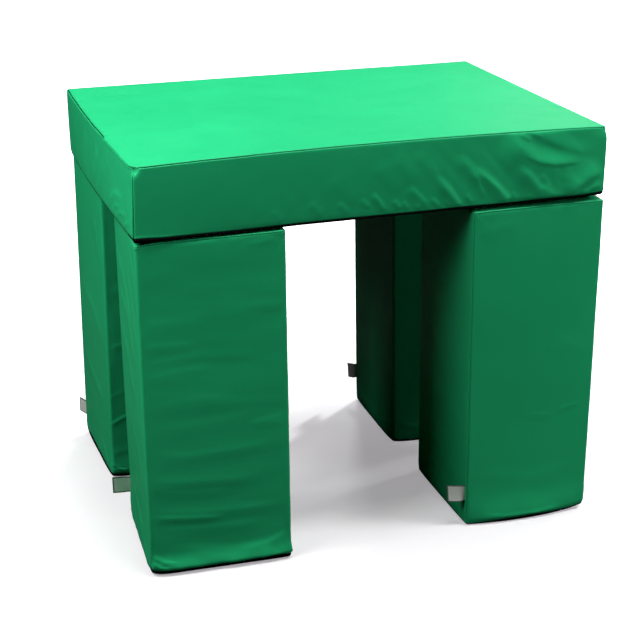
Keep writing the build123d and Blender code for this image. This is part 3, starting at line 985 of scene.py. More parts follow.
def leg_relief(name, seed):
    form_flat = LEG_S / 2 - LEG_R

    def lift(side, u, arc, z, dt, db):
        q = np.clip(z / LEG_H, 0, 1)
        belly = (1 - np.clip(u / form_flat, -1, 1) ** 2) * (4 * q * (1 - q)) ** 0.6
        h = 2.2 * belly
        inside = 1 - fade(np.abs(u), form_flat - 10, form_flat + 2)
        calm = np.array(CALM[name])[side.astype(int)]
        h = h + (1.1 * field(arc / 210.0, z / 120.0, seed) * (0.4 + 0.6 * calm) + 0.55 * calm * field(arc / 150.0, z / 34.0, seed + 1)) * inside
        patch = fade(field(arc / 110.0, z / 140.0, seed + 2), -0.25, 0.6)
        h = h + 0.30 * calm * patch * field(arc / 95.0, z / 17.0 + arc / 210.0, seed + 3) * inside
        # Cloth gathered a little by the stitching along the top and the foot.
        for d, k in ((dt, seed + 5), (db, seed + 6)):
            h = h + 0.55 * np.exp(-d / 9.0) * field(arc / 9.0, d / 60.0, k)
            h = h + 0.70 * np.exp(-d / 26.0) * field(arc / 27.0, d / 90.0, k + 10)
        # Slack drawn toward the four lower and upper corners.
        near = np.exp(-(form_flat + 6 - np.abs(u)) / 34.0)
        low, high = np.exp(-db / 38.0), np.exp(-dt / 30.0)
        fan = np.arctan2(db + 6, form_flat + 14 - np.abs(u))
        h = h + 0.95 * near * low * field(fan * 5.5, side * 7.0, seed + 8)
        fan = np.arctan2(dt + 6, form_flat + 14 - np.abs(u))
        h = h + 0.65 * near * high * field(fan * 5.0, side * 7.0, seed + 9)
        # Upright edges of the foam: barely wavy.
        h = h + 0.30 * np.exp(-np.abs(np.abs(u) - form_flat - 3) / 6.0) * field(z / 31.0, side * 3.0, seed + 7)
        for s, (k, at, up, down) in BULGE[name].items():
            pick = side == s
            dz = z[pick] - at
            run = 0.86 + 0.14 * field(arc[pick] / 60.0, z[pick] / 60.0, seed + 11) + 0.10 * field(arc[pick] / 23.0, z[pick] / 31.0, seed + 12)
            h[pick] += k * run * np.exp(-(dz / np.where(dz > 0, up, down)) ** 2) * (1 - 0.45 * (np.abs(u[pick]) / form_flat).clip(0, 1) ** 6)
        for s, strokes in LEG_STROKES.get(name, {}).items():
            pick = side == s
            if not pick.any():
                continue
            uu, hh = u[pick], z[pick]
            wide, tall = (1.45, 0.62) if s == 0 and name == "front_left_leg" else (1.0, 1.0)
            add = sum(stroke(uu, hh, path, a * wide, b * wide, k * tall, 0.25, 0.3) for path, a, b, k in strokes)
            h[pick] += add
        mask = np.where(side == 1, zip_mask(u, z, LEG_ZIP / 2), 1.0)
        h = h * mask
        h = h + np.where(side == 1, zip_channel(u, z, LEG_ZIP / 2), 0.0)
        return h

    return lift


# Slack that has sunk to the foot and bulges there: (amount, height, reach up, reach down), per side.
BULGE = {
    "front_left_leg": {0: (13.0, 13.0, 21.0, 7.5), 1: (5.0, 17.0, 30.0, 10.0), 3: (6.5, 18.0, 60.0, 9.0)},
    "back_left_leg": {0: (5.5, 20.0, 26.0, 11.0), 3: (1.4, 24.0, 30.0, 11.0)},
    "front_right_leg": {3: (5.0, 16.0, 40.0, 10.0), 2: (1.5, 22.0, 30.0, 13.0)},
    "back_right_leg": {0: (2.5, 20.0, 28.0, 12.0), 3: (2.0, 20.0, 28.0, 12.0)},
}

# Height of the foot's seam above the floor along each side: (left end, middle, right end).
FOOT = {
    "front_left_leg": {0: (7.5, 8.2, 11.0), 3: (11.0, 11.5, 8.5)},
    "back_left_leg": {0: (7.0, 6.5, 6.0), 3: (14.5, 15.0, 10.0)},
    "front_right_leg": {3: (2.6, 6.8, 2.6), 2: (5.0, 4.0, 3.6)},
    "back_right_leg": {0: (6.0, 5.0, 5.5), 3: (4.5, 4.5, 6.0)},
}


def between(side, u, table, default, reach):
    out = np.zeros(np.shape(u)) + default[1]
    for s in range(4):
        a, b, c = table.get(s, default)
        k = np.asarray(side) == s
        t = np.clip(np.asarray(u)[k] / reach, -1, 1)
        out[k] = np.where(t < 0, b + (a - b) * (-t) ** 2, b + (c - b) * t ** 2)
    return out


def leg_seams(name, form, seed):
    def top(side, u):
        s = side * 300.0 + u
        return -(form.rt * math.pi / 4 - form.rt * 0 + 0.6) - 0.5 * field(s / 60.0, 0 * s, seed)

    def bottom(side, u):
        z = between(side, u, FOOT[name], (5.0, 4.6, 5.0), form.reach(0))
        # Ends on a corner meet at the mean of the two sides.
        z = z + 0.35 * field((side * 300.0 + u) / 45.0, 0 * u, seed + 1)
        return form.m_side(z)

    corner = {}

    def joined(side, u):
        m = bottom(side, u)
        for s in range(4):
            n = (s + 1) % 4
            r = form.reach(0)
            if (s, n) not in corner:
                a = bottom(np.array([s]), np.array([r]))[0]
                b = bottom(np.array([n]), np.array([-r]))[0]
                corner[(s, n)] = (a, b)
            a, b = corner[(s, n)]
            k = side == s
            m[k] += (b - a) / 2 * fade(u[k], r - 30, r)
            k = side == n
            m[k] += (a - b) / 2 * fade(-u[k], r - 30, r)
        return m

    def top_joined(side, u):
        m = top(side, u)
        for s in range(4):
            n, r = (s + 1) % 4, form.reach(0)
            a, b = top(np.array([s]), np.array([r]))[0], top(np.array([n]), np.array([-r]))[0]
            k = side == s
            m[k] += (b - a) / 2 * fade(u[k], r - 30, r)
            k = side == n
            m[k] += (a - b) / 2 * fade(-u[k], r - 30, r)
        return m + form.m_top

    return top_joined, joined


def show(obj, body, slot=None, *nodes):
    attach(obj, body)
    if nodes:
        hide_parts(*nodes)
    return obj


def zip_pieces(prefix, body, half, at, place):
    """Woven tapes, moulded teeth with end stops, and the thread round the slot. at(x, y, z) gives module points from
    the zip's own: x along the teeth, y outward from the vinyl's face, z up from the middle of the teeth."""
    def out(p):
        p = np.asarray(p, float).reshape(-1, 3)
        return place(at(p[:, 0], p[:, 1], p[:, 2]))

    # Tapes: two ribbed strips with rounded edges.
    n = int(half / 2.5)
    xs = np.linspace(-half + 0.4, half - 0.4, n)
    verts, faces, start = [], [], 0
    for sz in (1, -1):
        ring = [(-2.25, 0.7), (-1.55, 0.75), (-1.30, 1.2), (-1.25, 2.6), (-1.30, 4.1), (-1.6, 4.7), (-2.3, 4.7)]
        k = len(ring)
        rows = []
        for i, x in enumerate(xs):
            rib = 0.07 * math.sin(i * 2.1)
            rows.append([(x, y + (rib if 1.0 < z < 4.3 else 0), sz * z) for y, z in ring])
        rows = np.array(rows)
        idx = start + np.arange(len(xs) * k).reshape(len(xs), k)
        loop = np.concatenate([idx, idx[:, :1]], 1)
        f = sheet_faces(loop.T if sz > 0 else loop.T)
        faces.append(f[:, ::-1] if sz > 0 else f)
        for c, flip in ((0, sz > 0), (-1, sz < 0)):
            poly = idx[c]
            tri = np.array([[poly[0], poly[q], poly[q + 1]] for q in range(1, k - 1)])
            faces.append(tri if not flip else tri[:, ::-1])
        verts.append(rows.reshape(-1, 3))
        start += len(xs) * k
    tapes = build(prefix + "_zip_tape_pair", out(np.concatenate(verts)), faces, TAPE)
    show(tapes, body, "zip_tape", prefix + "_zip_tapes")
    # Teeth: each a small moulded bead reaching just over the middle, alternately from above and below.
    pitch = 0.95
    x = np.arange(-half + 7, half - 7, pitch)
    side = np.where(np.arange(len(x)) % 2 == 0, 1.0, -1.0)
    ax = np.stack([x, np.full(len(x), -0.1), side * 0.95], -1)
    along = np.tile([0.0, 0.0, 1.0], (len(x), 1))
    across = np.tile([1.0, 0.0, 0.0], (len(x), 1))
    length, radius = np.full(len(x), 3.5), np.full(len(x), 0.62)
    # A cord along each row, and the two end stops.
    cord_x = np.arange(-half + 7, half - 7, 6.0) + 3.0
    for sz in (2.75, -2.75):
        ax = np.concatenate([ax, np.stack([cord_x, np.full(len(cord_x), -0.55), np.full(len(cord_x), sz)], -1)])
        along = np.concatenate([along, np.tile([1.0, 0.0, 0.0], (len(cord_x), 1))])
        across = np.concatenate([across, np.tile([0.0, 0.0, 1.0], (len(cord_x), 1))])
        length = np.concatenate([length, np.full(len(cord_x), 7.4)])
        radius = np.concatenate([radius, np.full(len(cord_x), 0.5)])
    ax = np.concatenate([ax, [[-half + 4.6, -0.2, 0], [half - 4.6, -0.2, 0]]])
    along = np.concatenate([along, [[0, 0, 1.0], [0, 0, 1.0]]])
    across = np.concatenate([across, [[1.0, 0, 0], [1.0, 0, 0]]])
    length, radius = np.append(length, [6.6, 6.6]), np.append(radius, [1.3, 1.3])
    coil = beads(prefix + "_zip_teeth", ax, along, across, length, radius, TEETH, out, flat=1.25)
    show(coil, body, "zip_teeth", prefix + "_zip_coil")
    # Two rows of stitches, and one across each end.
    sx = np.arange(-half - 3, half + 3.1, 4.6)
    pts, al = [], []
    for z in (-8.0, 8.0):
        pts.append(np.stack([sx, np.full(len(sx), 0.12), np.full(len(sx), z)], -1))
        al.append(np.tile([1.0, 0.0, 0.0], (len(sx), 1)))
    sz = np.arange(-5.4, 5.5, 3.6)
    for xe in (-half - 3.6, half + 3.6):
        pts.append(np.stack([np.full(len(sz), xe), np.full(len(sz), 0.12), sz], -1))
        al.append(np.tile([0.0, 0.0, 1.0], (len(sz), 1)))
    pts, al = np.concatenate(pts), np.concatenate(al)
    st = beads(prefix + "_zip_stitching", pts, al, np.tile([0.0, 1.0, 0.0], (len(pts), 1)), 3.5, 0.34, THREAD, out)
    show(st, body, "zip_tape")


def label_piece(name, body, place, way, height, swing, droop, curl, twist, seed):
    """A ribbon folded at its outer end, its cut ends caught in the block's closing seam. It swings and droops as cloth does."""
    half = LEG_S / 2
    flat = half - LEG_R - 0.6
    out_len, tall, ply = 38.0, 37.0, 0.42
    # Path of the ribbon's middle in (a, w): a out of the seam, w across the ribbon.
    gap = 0.40
    a1 = np.linspace(-3.5, out_len - 1.2, 38)
    bend = np.linspace(-math.pi / 2, math.pi / 2, 7)
    path = [(a, -gap) for a in a1] + [(out_len - 1.2 + 0.9 * math.cos(t), gap * math.sin(t)) for t in bend[1:-1]] + [(a, gap) for a in a1[::-1]]
    path = np.array(path)
    tangent = np.gradient(path, axis=0)
    tangent /= np.linalg.norm(tangent, axis=1, keepdims=True)
    normal = np.stack([tangent[:, 1], -tangent[:, 0]], -1)
    hs = np.linspace(-tall / 2, tall / 2, 40)
    nh, npth = len(hs), len(path)
    P, Hh = np.meshgrid(np.arange(npth), hs, indexing="ij")
    edge = np.abs(Hh) > tall / 2 - 1.2
    thick = ply / 2 * np.where(np.abs(Hh) > tall / 2 - 0.2, 0.5, 1.0) + 0.10 * edge * (np.abs(Hh) < tall / 2 - 0.2)
    layers = []
    for s in (1, -1):
        a = path[P, 0] + s * normal[P, 0] * thick
        w = path[P, 1] + s * normal[P, 1] * thick
        layers.append((a, w))
    # Both plies are nearly one sheet, puffed a little between.
    verts, border, line = [], [], []
    for a, w in layers:
        puff = 0.35 * np.sin(np.clip(a / out_len, 0, 1) * math.pi) * np.sign(path[P, 1])
        w = w + puff
        s = np.clip(a, 0, None)
        ang = math.radians(swing) * (1 - np.exp(-s / 7.0)) + math.radians(curl) * (s / out_len) ** 2
        wav = 0.7 * np.sin(s / out_len * 4.0 + seed) * (s / out_len) + 0.5 * field(s / 17.0, Hh / 15.0, seed) * (s / out_len)
        step = s
        x = np.where(a > 0, step * np.cos(ang), a) - w * np.sin(ang)
        y = step * np.sin(ang) * (a > 0) + (w + wav) * np.cos(ang)
        z = Hh - math.tan(math.radians(droop)) * s + math.tan(math.radians(twist)) * 0 * s
        y = y + math.tan(math.radians(twist)) * Hh * np.clip(s / 12.0, 0, 1)
        verts.append(np.stack([x, y, z], -1).reshape(-1, 3))
        border.append(np.clip(fade(np.abs(Hh), tall / 2 - 3.0, tall / 2 - 2.4) + fade(a, out_len - 3.6, out_len - 2.9), 0, 1).ravel())
        line.append((np.exp(-((a - (out_len - 6.4)) / 0.55) ** 2) * (np.abs(Hh) < tall / 2 - 4.5)).ravel())
    v = np.concatenate(verts)
    io = np.arange(npth * nh).reshape(npth, nh)
    ii = io + npth * nh
    fs = [sheet_faces(io), sheet_faces(ii)[:, ::-1]]
    for r, c in (((0, slice(None)), 0), ((-1, slice(None)), 1)):
        e, f = io[r], ii[r]
        q = np.stack([e[:-1], e[1:], f[1:], f[:-1]], -1)
        fs.append(q if c else q[:, ::-1])
    for r, c in (((slice(None), 0), 1), ((slice(None), -1), 0)):
        e, f = io[r], ii[r]
        q = np.stack([e[:-1], e[1:], f[1:], f[:-1]], -1)
        fs.append(q if c else q[:, ::-1])
    # Into the module: way "-X" stands out to -X in the plane y = flat, "+Y" to +Y in the plane x = -flat.
    if way == "-X":
        local = np.stack([-half + 0.6 - v[:, 0], flat + v[:, 1], height + v[:, 2]], -1)
        flip = False
    else:
        local = np.stack([-flat - v[:, 1], half - 0.6 + v[:, 0], height + v[:, 2]], -1)
        flip = False
    fs = [f[:, ::-1] for f in fs] if flip else fs
    piece = build(name + "_woven_label", place(local), fs, RIBBON,
                  {"border": np.concatenate(border), "line": np.concatenate(line)})
    show(piece, body, "label_ribbon", name + "_label")
    return piece


def pad_piece(name, body, slot, mat, centre, z0, z1, up, replaces, place, seed):
    """A square of hook or loop tape: dense pile, a flattened sewn border, stitches all round."""
    form = Form(PAD / 2, PAD / 2, z1 - z0, 6.0, top=0.6, bottom=0.6,
                place=lambda p: place(p + np.array([centre[0], centre[1], z0])))
    top_z = z1 - z0

    def relief(x, y, z):
        face = z > top_z - 0.01 if up else z < 0.01
        edge = np.maximum(np.abs(x), np.abs(y)) - PAD / 2
        h = 0.10 * field(x / 2.3, y / 2.3, seed) + 0.08 * field(x / 11.0, y / 11.0, seed + 1) - 0.35 * np.exp(-((edge + 4.2) / 0.9) ** 2) - 0.12
        return np.where(face, h, 0.0)

    pad = closed_form(name + "_sheet", form, mat, step=2.4, relief=relief, rows=[0.6, max(0.7, top_z - 0.6)])
    show(pad, body, slot, replaces)
    s = np.arange(-PAD / 2 + 8, PAD / 2 - 7, 4.8)
    pts, al = [], []
    e = PAD / 2 - 4.2
    zz = (top_z - 0.30) if up else 0.30
    for x, y, d in ((s, -e, (1, 0, 0)), (s, e, (1, 0, 0)), (-e, s, (0, 1, 0)), (e, s, (0, 1, 0))):
        x, y = np.broadcast_arrays(x, y)
        pts.append(np.stack([x, y, np.full(len(s), zz)], -1))
        al.append(np.tile(d, (len(s), 1)).astype(float))
    pts = np.concatenate(pts) + np.array([centre[0], centre[1], z0])
    st = beads(name + "_stitching", pts, np.concatenate(al), np.tile([0.0, 0.0, 1.0], (len(pts), 1)), 3.6, 0.30, DARK_THREAD, place)
    show(st, body, slot)


# ------------------------------------------------------------------ blocks
LABELS = {
    # way, swing, droop, curl, twist
    "front_left_leg": ("-X", -9.0, -8.0, 0.0, 4.0),
    "back_left_leg": ("+Y", 24.0, -6.0, 2.0, 0.0),
    "front_right_leg": ("+Y", -10.0, 0.0, -4.0, -13.0),
    "back_right_leg": ("-X", 52.0, 14.0, 18.0, 10.0),
}


def make_leg(name, seed):
    form, place = leg_form(name)
    top_seam, bottom_seam = leg_seams(name, form, seed)
    levels = [form.m_side(ZIP_Z + d) for d in (-6.4, -5.0, -4.55, -4.1, -2.6, -0.9, 0.9, 2.6, 4.1, 4.55, 5.0, 6.4)]
    ends = [s * (LEG_ZIP / 2 + d) for s in (-1, 1) for d in (-0.45, 0.0, 0.45)]
    # Painted shade in the seams of the sides: dark = (foot, top, upright) strengths.
    sides = wrap(name + "_cover_sides", form, [3, 0, 1, 2], (), top_seam, bottom_seam, leg_relief(name, seed), VINYL,
                 row_step=3.4, levels=levels, columns={1: ends}, thickness=4.0, grooves=(1.2, 0.8, 0.8), ridges=(0.3, 0.08, 0.3),
                 dark=(0.2, 0.3, 0.14))
    show(sides, name, "green_vinyl", name + "_side_wrap")

    def top_lift(x, y, m, d):
        r = 1 - np.maximum(np.abs(x), np.abs(y)) / (LEG_S / 2)
        return (1.0 * fade(r, 0.02, 0.5) + 0.5 * field(x / 70.0, y / 70.0, seed + 21)
                + 0.4 * np.exp(-d / 10.0) * field((x + y) / 14.0, (x - y) / 14.0, seed + 22)) * fade(
            np.maximum(np.abs(x), np.abs(y)), PAD / 2 - 4, PAD / 2 + 26)

    # Painted shadow: the rim along the top seam is darkened where the deck shades the top of the leg.
    lid = cap(name + "_cover_top", form, top_seam, top_lift, VINYL, top=True, step=7.0, depth=0.8, ridge=0.05, dark=0.5)
    show(lid, name, "green_vinyl", name + "_top_panel")

    def base_lift(x, y, m, d):
        return -0.25 + 0.2 * field(x / 50.0, y / 50.0, seed + 23)

    base = cap(name + "_base_sheet", form, bottom_seam, base_lift, BLACK, top=False, step=8.0, depth=1.1, ridge=0.25)
    show(base, name, "black_anti_slip", name + "_base_panel")
    core = Form(LEG_S / 2 - 7.5, LEG_S / 2 - 7.5, LEG_H - 11, 9.0, top=9.0, bottom=9.0,
                place=lambda p: place(p + np.array([0, 0, 5.5])))
    block = closed_form(name + "_foam_block", core, FOAM, step=24.0,
                        relief=lambda x, y, z: 0.5 * field(x / 40.0 + z / 37.0, y / 40.0, seed + 24) - 0.5)
    show(block, name, "foam", name + "_foam_core")
    pad_piece(name + "_loop_pad", name, "loop_tape", LOOP, (0.0, 0.0), LEG_H, LEG_H + PAD_T, True,
              name + "_loop_pad", place, seed + 25)

    def at(x, y, z):
        return np.stack([LEG_S / 2 + y, -x, ZIP_Z + z], -1)

    zip_pieces(name, name, LEG_ZIP / 2, at, place)
    for part in ("_slider", "_pull"):
        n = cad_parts[name + "_zip" + part]
        n.data.materials.clear()
        n.data.materials.append(METAL)
    way, swing, droop, curl, twist = LABELS[name]
    low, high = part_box(name + "_label")
    height = (low.z + high.z) / 2 * 1000
    label_piece(name, name, place, way, height, swing, droop, curl, twist, seed + 26)


# ------------------------------------------------------------------ deck
def deck_form():
    hx, hy = DECK_L / 2, DECK_W / 2

    def soft(p):
        p = p.copy()
        # The underside's front edge rides up a little to the right of the front left corner.
        t = fade(p[:, 0], -330.0, -150.0) * fade(-p[:, 1], hy - 160.0, hy - 10.0)
        p[:, 2] += 2.4 * t * np.exp(-np.maximum(p[:, 2], 0) / 40.0)
        # The front's top edge is crowned, and the left side bows out.
        up, front = np.clip(p[:, 2] / DECK_T, 0, 1), np.clip(-p[:, 1] / hy, 0, 1)
        crown = np.clip(1 - ((p[:, 0] - 25.0) / 500.0) ** 2, 0, 1)
        p[:, 2] += 8.0 * crown * up ** 2 * front ** 3
        p[:, 0] -= 7.5 * np.clip(-p[:, 0] / hx, 0, 1) ** 4 * np.clip(1 - (p[:, 1] / hy) ** 2, 0, 1)
        # The front left corner leans out toward its foot.
        w = np.exp(-np.hypot(p[:, 0] + hx, p[:, 1] + hy) / 60.0)
        p[:, 0] -= 4.0 * w * (1 - 0.9 * up)
        for sx, sy, h in ((-1, -1, -1.5), (1, -1, 3.0), (1, 1, 4.0), (-1, 1, 3.5)):
            d = np.hypot(p[:, 0] - sx * hx, p[:, 1] - sy * hy)
            w = np.exp(-d / 34.0) * np.exp(-np.maximum(p[:, 2], 0) / 40.0)
            p[:, 2] += h * w
            p[:, 0] -= sx * 0.35 * h * w
            p[:, 1] -= sy * 0.35 * h * w
        # The top's front corners are drawn in where three seams meet.
        for sx, wide, deep in ((-1, 11.0, 7.0), (1, 26.0, 4.0)):
            dx, dy, dz = p[:, 0] - sx * hx, p[:, 1] + hy, p[:, 2] - DECK_T
            w = np.exp(-(dx / wide) ** 2 - (dy / 9.0) ** 2 - (dz / 13.0) ** 2)
            w = w + 0.7 * np.exp(-(dx / 7.0) ** 2 - (dy / 7.0) ** 2 - (dz / 12.0) ** 2)
            p[:, 0] -= sx * deep * 0.8 * w * (np.abs(dx) < 40)
            p[:, 1] += deep * 0.8 * w
            p[:, 2] -= deep * 0.55 * w
        return deck_place(p)

    return Form(hx, hy, DECK_T, 7.5, top=5.5, bottom=5.0, place=soft, step=3.4)


DECK = deck_form()


def deck_top_seam(side, u):
    side, u = np.asarray(side), np.asarray(u, float)
    r = np.where(side % 2 == 0, DECK.reach(0), DECK.reach(1))
    s = side * 1100.0 + u
    w = np.select([side == 0, side == 1, side == 2, side == 3], [
        -0.4 + 1.6 * np.clip(1 - ((u - 25.0) / 430.0) ** 2, 0, 1) + 2.0 * fade(u, 300.0, 440.0),
        2.0 + 0 * u,
        3.6 + 0 * u,
        # left: on the top from the back to a kink, then rolled over the edge toward the front
        0.2 - 3.4 * fade(u, 112.0, 130.0),
    ])
    w = w + 0.5 * field(s / 75.0, 0 * s, 5) + 0.25 * field(s / 23.0, 0 * s, 6)
    # All four meet at the same place on the corners.
    k = fade(np.abs(u), r - 26, r - 2)
    return DECK.m_top + w * (1 - k) + 1.2 * k


def deck_bottom_seam(side, u):
    side, u = np.asarray(side), np.asarray(u, float)
    r = np.where(side % 2 == 0, DECK.reach(0), DECK.reach(1))
    s = side * 1100.0 + u
    z = np.where(side == 0, 6.9, 4.4) + 0.5 * field(s / 90.0, 0 * s, 7)
    k = fade(np.abs(u), r - 60, r - 2)
    corner = np.where((side == 0) & (u < 0) | (side == 3) & (u > 0), 9.6, np.where((side == 0) & (u > 0) | (side == 1) & (u < 0), 8.8, 6.4))
    return DECK.m_side(z * (1 - k) + corner * k)


def deck_seam_shade(side, u):
    """Strength of the painted shade in the top seam: weaker where the seam has rolled down the left face."""
    left = 0.9 - 0.78 * fade(u, 114.0, 130.0) * (1 - fade(u, 345.0, 360.0))
    return np.where(side == 3, left, np.where(side == 0, 0.85, 0.95))


# Creases on the bands: path in (u, z), half widths left and right of its direction, height, and the shares of its
# length over which it fades in and out.
BAND_STROKES = {
    0: [
        # long diagonal folds, upper left to lower right: the upper right flank is the steep one
        (((70, 132), (100, 100), (128, 70)), 13.0, 18.0, 1.5),
        (((108, 86), (134, 60), (148, 44), (160, 27), (174, 6)), 5.2, 15.0, 3.6, 0.45, 0.1),
        (((128, 60), (146, 38), (158, 18)), 3.0, 6.0, 0.9),
        (((158, 116), (193, 86), (222, 68)), 9.0, 16.0, 2.4, 0.4, 0.2), (((204, 84), (222, 68), (250, 43), (281, 9)), 7.5, 15.0, 4.2, 0.25, 0.1),
        (((214, 78), (238, 56), (264, 30)), 4.5, 6.0, 1.0),
        (((190, 88), (206, 62), (217, 42), (230, 19)), 4.2, 10.0, 1.9),
        (((56, 64), (83, 38), (103, 14)), 4.2, 12.0, 1.8),
        (((-10, 118), (20, 84), (50, 52)), 18.0, 18.0, 0.9), (((-110, 96), (-70, 60), (-44, 30)), 22.0, 20.0, 0.8),
        (((20, 128), (56, 92), (84, 60)), 15.0, 18.0, 1.0),
        # the lit shelf at the top right, and the roll of cloth over it
        (((262, 149), (284, 130), (308, 111), (336, 94), (376, 84), (462, 82)), 18.0, 40.0, 8.6, 0.25, 0.45),
        (((298, 114), (316, 101), (342, 88), (378, 81), (448, 81)), 9.0, 3.0, 1.9),
        (((308, 156), (356, 134), (410, 113), (486, 94)), 16.0, 11.0, 2.6),
        (((298, 148), (312, 140), (327, 131)), 2.6, 5.0, 1.9), (((322, 150), (338, 143), (352, 137)), 2.4, 4.4, 1.1),
        # folds under the shelf
        (((288, 86), (322, 60), (342, 36), (386, 12)), 8.0, 20.0, 3.4),
        (((344, 66), (360, 46), (368, 26)), 7.0, 10.0, 1.4),
        (((404, 8), (430, 29), (456, 45), (494, 60)), 20.0, 9.0, 5.6),
        (((436, 8), (466, 22), (494, 27)), 8.0, 6.0, 2.2),
        (((392, 62), (420, 44), (440, 30)), 8.0, 10.0, 1.0),
        # short creases rising from the bottom seam
        (((-20, 57), (-2, 34), (12, 11)), 3.4, 9.0, 2.0), (((26, 38), (44, 15)), 3.2, 7.0, 1.5),
        (((-44, 46), (-22, 24)), 4.0, 8.0, 1.1), (((108, 34), (129, 11)), 3.2, 7.0, 1.5), (((184, 36), (200, 12)), 3.2, 7.0, 1.3),
        (((46, 34), (60, 12)), 3.4, 6.0, 1.1), (((140, 28), (150, 10)), 3.0, 5.0, 0.9), (((286, 30), (300, 10)), 3.4, 6.0, 1.1),
        (((-92, 44), (-66, 16)), 5.0, 9.0, 1.0), (((-150, 50), (-120, 16)), 7.0, 10.0, 0.9), (((320, 26), (334, 8)), 3.2, 6.0, 1.0),
        (((-230, 40), (-200, 12)), 8.0, 10.0, 0.7), (((76, 24), (84, 8)), 3.0, 5.0, 0.9),
    ],
    3: [
        # u runs to the front: arcs that gather at the bottom seam
        (((304, 68), (232, 62), (186, 42), (146, 8)), 13.0, 8.0, 1.9), (((292, 51), (228, 38), (186, 8)), 8.0, 6.0, 1.3),
        (((340, 46), (264, 33), (218, 8)), 7.0, 5.0, 1.1), (((364, 40), (322, 24), (292, 7)), 6.0, 4.4, 1.0),
        (((66, 124), (32, 72), (-22, 14)), 14.0, 22.0, 2.6), (((128, 104), (84, 56), (40, 10)), 16.0, 18.0, 1.3),
        (((-60, 120), (-110, 60), (-150, 14)), 20.0, 22.0, 1.2), (((-210, 110), (-250, 60), (-280, 16)), 20.0, 22.0, 1.0),
        (((180, 120), (150, 96), (120, 60)), 14.0, 18.0, 1.0), (((350, 108), (340, 70), (352, 40)), 8.0, 10.0, 1.0),
        (((-330, 120), (-342, 70), (-350, 30)), 10.0, 12.0, 1.0),
    ],
    1: [
        (((-350, 120), (-300, 80), (-260, 30)), 9.0, 7.0, 2.4), (((-300, 130), (-250, 90), (-210, 30)), 12.0, 8.0, 1.8),
        (((-210, 120), (-150, 60), (-120, 18)), 14.0, 10.0, 1.3), (((-60, 110), (0, 70), (60, 30)), 16.0, 12.0, 1.0),
        (((120, 40), (180, 70), (260, 110)), 14.0, 10.0, 1.2), (((260, 24), (300, 44), (350, 60)), 7.0, 6.0, 1.8),
        (((-330, 26), (-318, 14), (-310, 7)), 3.0, 2.4, 1.5), (((-280, 28), (-266, 14), (-258, 7)), 3.2, 2.4, 1.4),
        (((-170, 26), (-156, 14), (-150, 7)), 3.4, 2.6, 1.2), (((40, 26), (56, 14), (62, 7)), 3.6, 2.6, 1.0),
    ],
    2: [
        (((-430, 130), (-380, 100), (-330, 70)), 10.0, 8.0, 1.8), (((-260, 130), (-200, 96), (-150, 66)), 14.0, 10.0, 1.3),
        (((-60, 120), (0, 90), (70, 64)), 18.0, 12.0, 1.0), (((160, 68), (230, 96), (300, 124)), 16.0, 12.0, 1.1),
        (((380, 66), (430, 96), (470, 120)), 9.0, 7.0, 1.6),
    ],
}


def band_relief(side_no, seed, slack):
    def lift(side, u, arc, z, dt, db):
        r = DECK.reach(side_no)
        q = np.clip(z / DECK_T, 0, 1)
        h = 2.0 * (1 - (u / r) ** 6) * (4 * q * (1 - q)) ** 0.8
        h = h + 1.0 * field(arc / 230.0, z / 110.0, seed) * (4 * q * (1 - q)) ** 0.5
        loose = slack(u)
        skew = arc + 0.9 * z
        h = h + loose * (0.9 * field(skew / 46.0, (z - 0.3 * arc) / 120.0, seed + 1) + 0.38 * field(skew / 17.0, (z - 0.3 * arc) / 70.0, seed + 2)) * (
            4 * q * (1 - q)) ** 0.35
        h = h + 0.10 * field(arc / 24.0, z / 24.0, seed + 3)
        h = h + (0.25 + 0.45 * loose) * np.exp(-db / 10.0) * field((arc + 0.5 * z) / 9.0, z / 60.0, seed + 4)
        h = h + (0.20 + 0.25 * loose) * np.exp(-dt / 8.0) * field(arc / 11.0, z / 60.0, seed + 5)
        h = h + 0.45 * np.exp(-db / 22.0) * field((arc + 0.4 * z) / 31.0, z / 70.0, seed + 6)
        if side_no == 0:
            # The slack at the right sinks to the foot of the band.
            h = h + 8.0 * fade(u, 215.0, 400.0) * (1 - 0.85 * fade(u, 425.0, 492.0)) * (1 - fade(z, 12.0, 104.0)) * fade(z, 2.0, 15.0)
        if side_no == 3:
            h = h - 2.2 * np.exp(-dt / 9.0) * fade(u, 40.0, 110.0) + 2.0 * fade(u, -60.0, 260.0) * (1 - fade(z, 25.0, 125.0))
        for path, a, b, k, *ends in BAND_STROKES[side_no]:
            h = h + stroke(u, z, path, a, b, k, *(ends or (0.28, 0.3)))
        if side_no == 2:
            h = h * zip_mask(u, z, DECK_ZIP / 2) + zip_channel(u, z, DECK_ZIP / 2)
        return h

    return lift


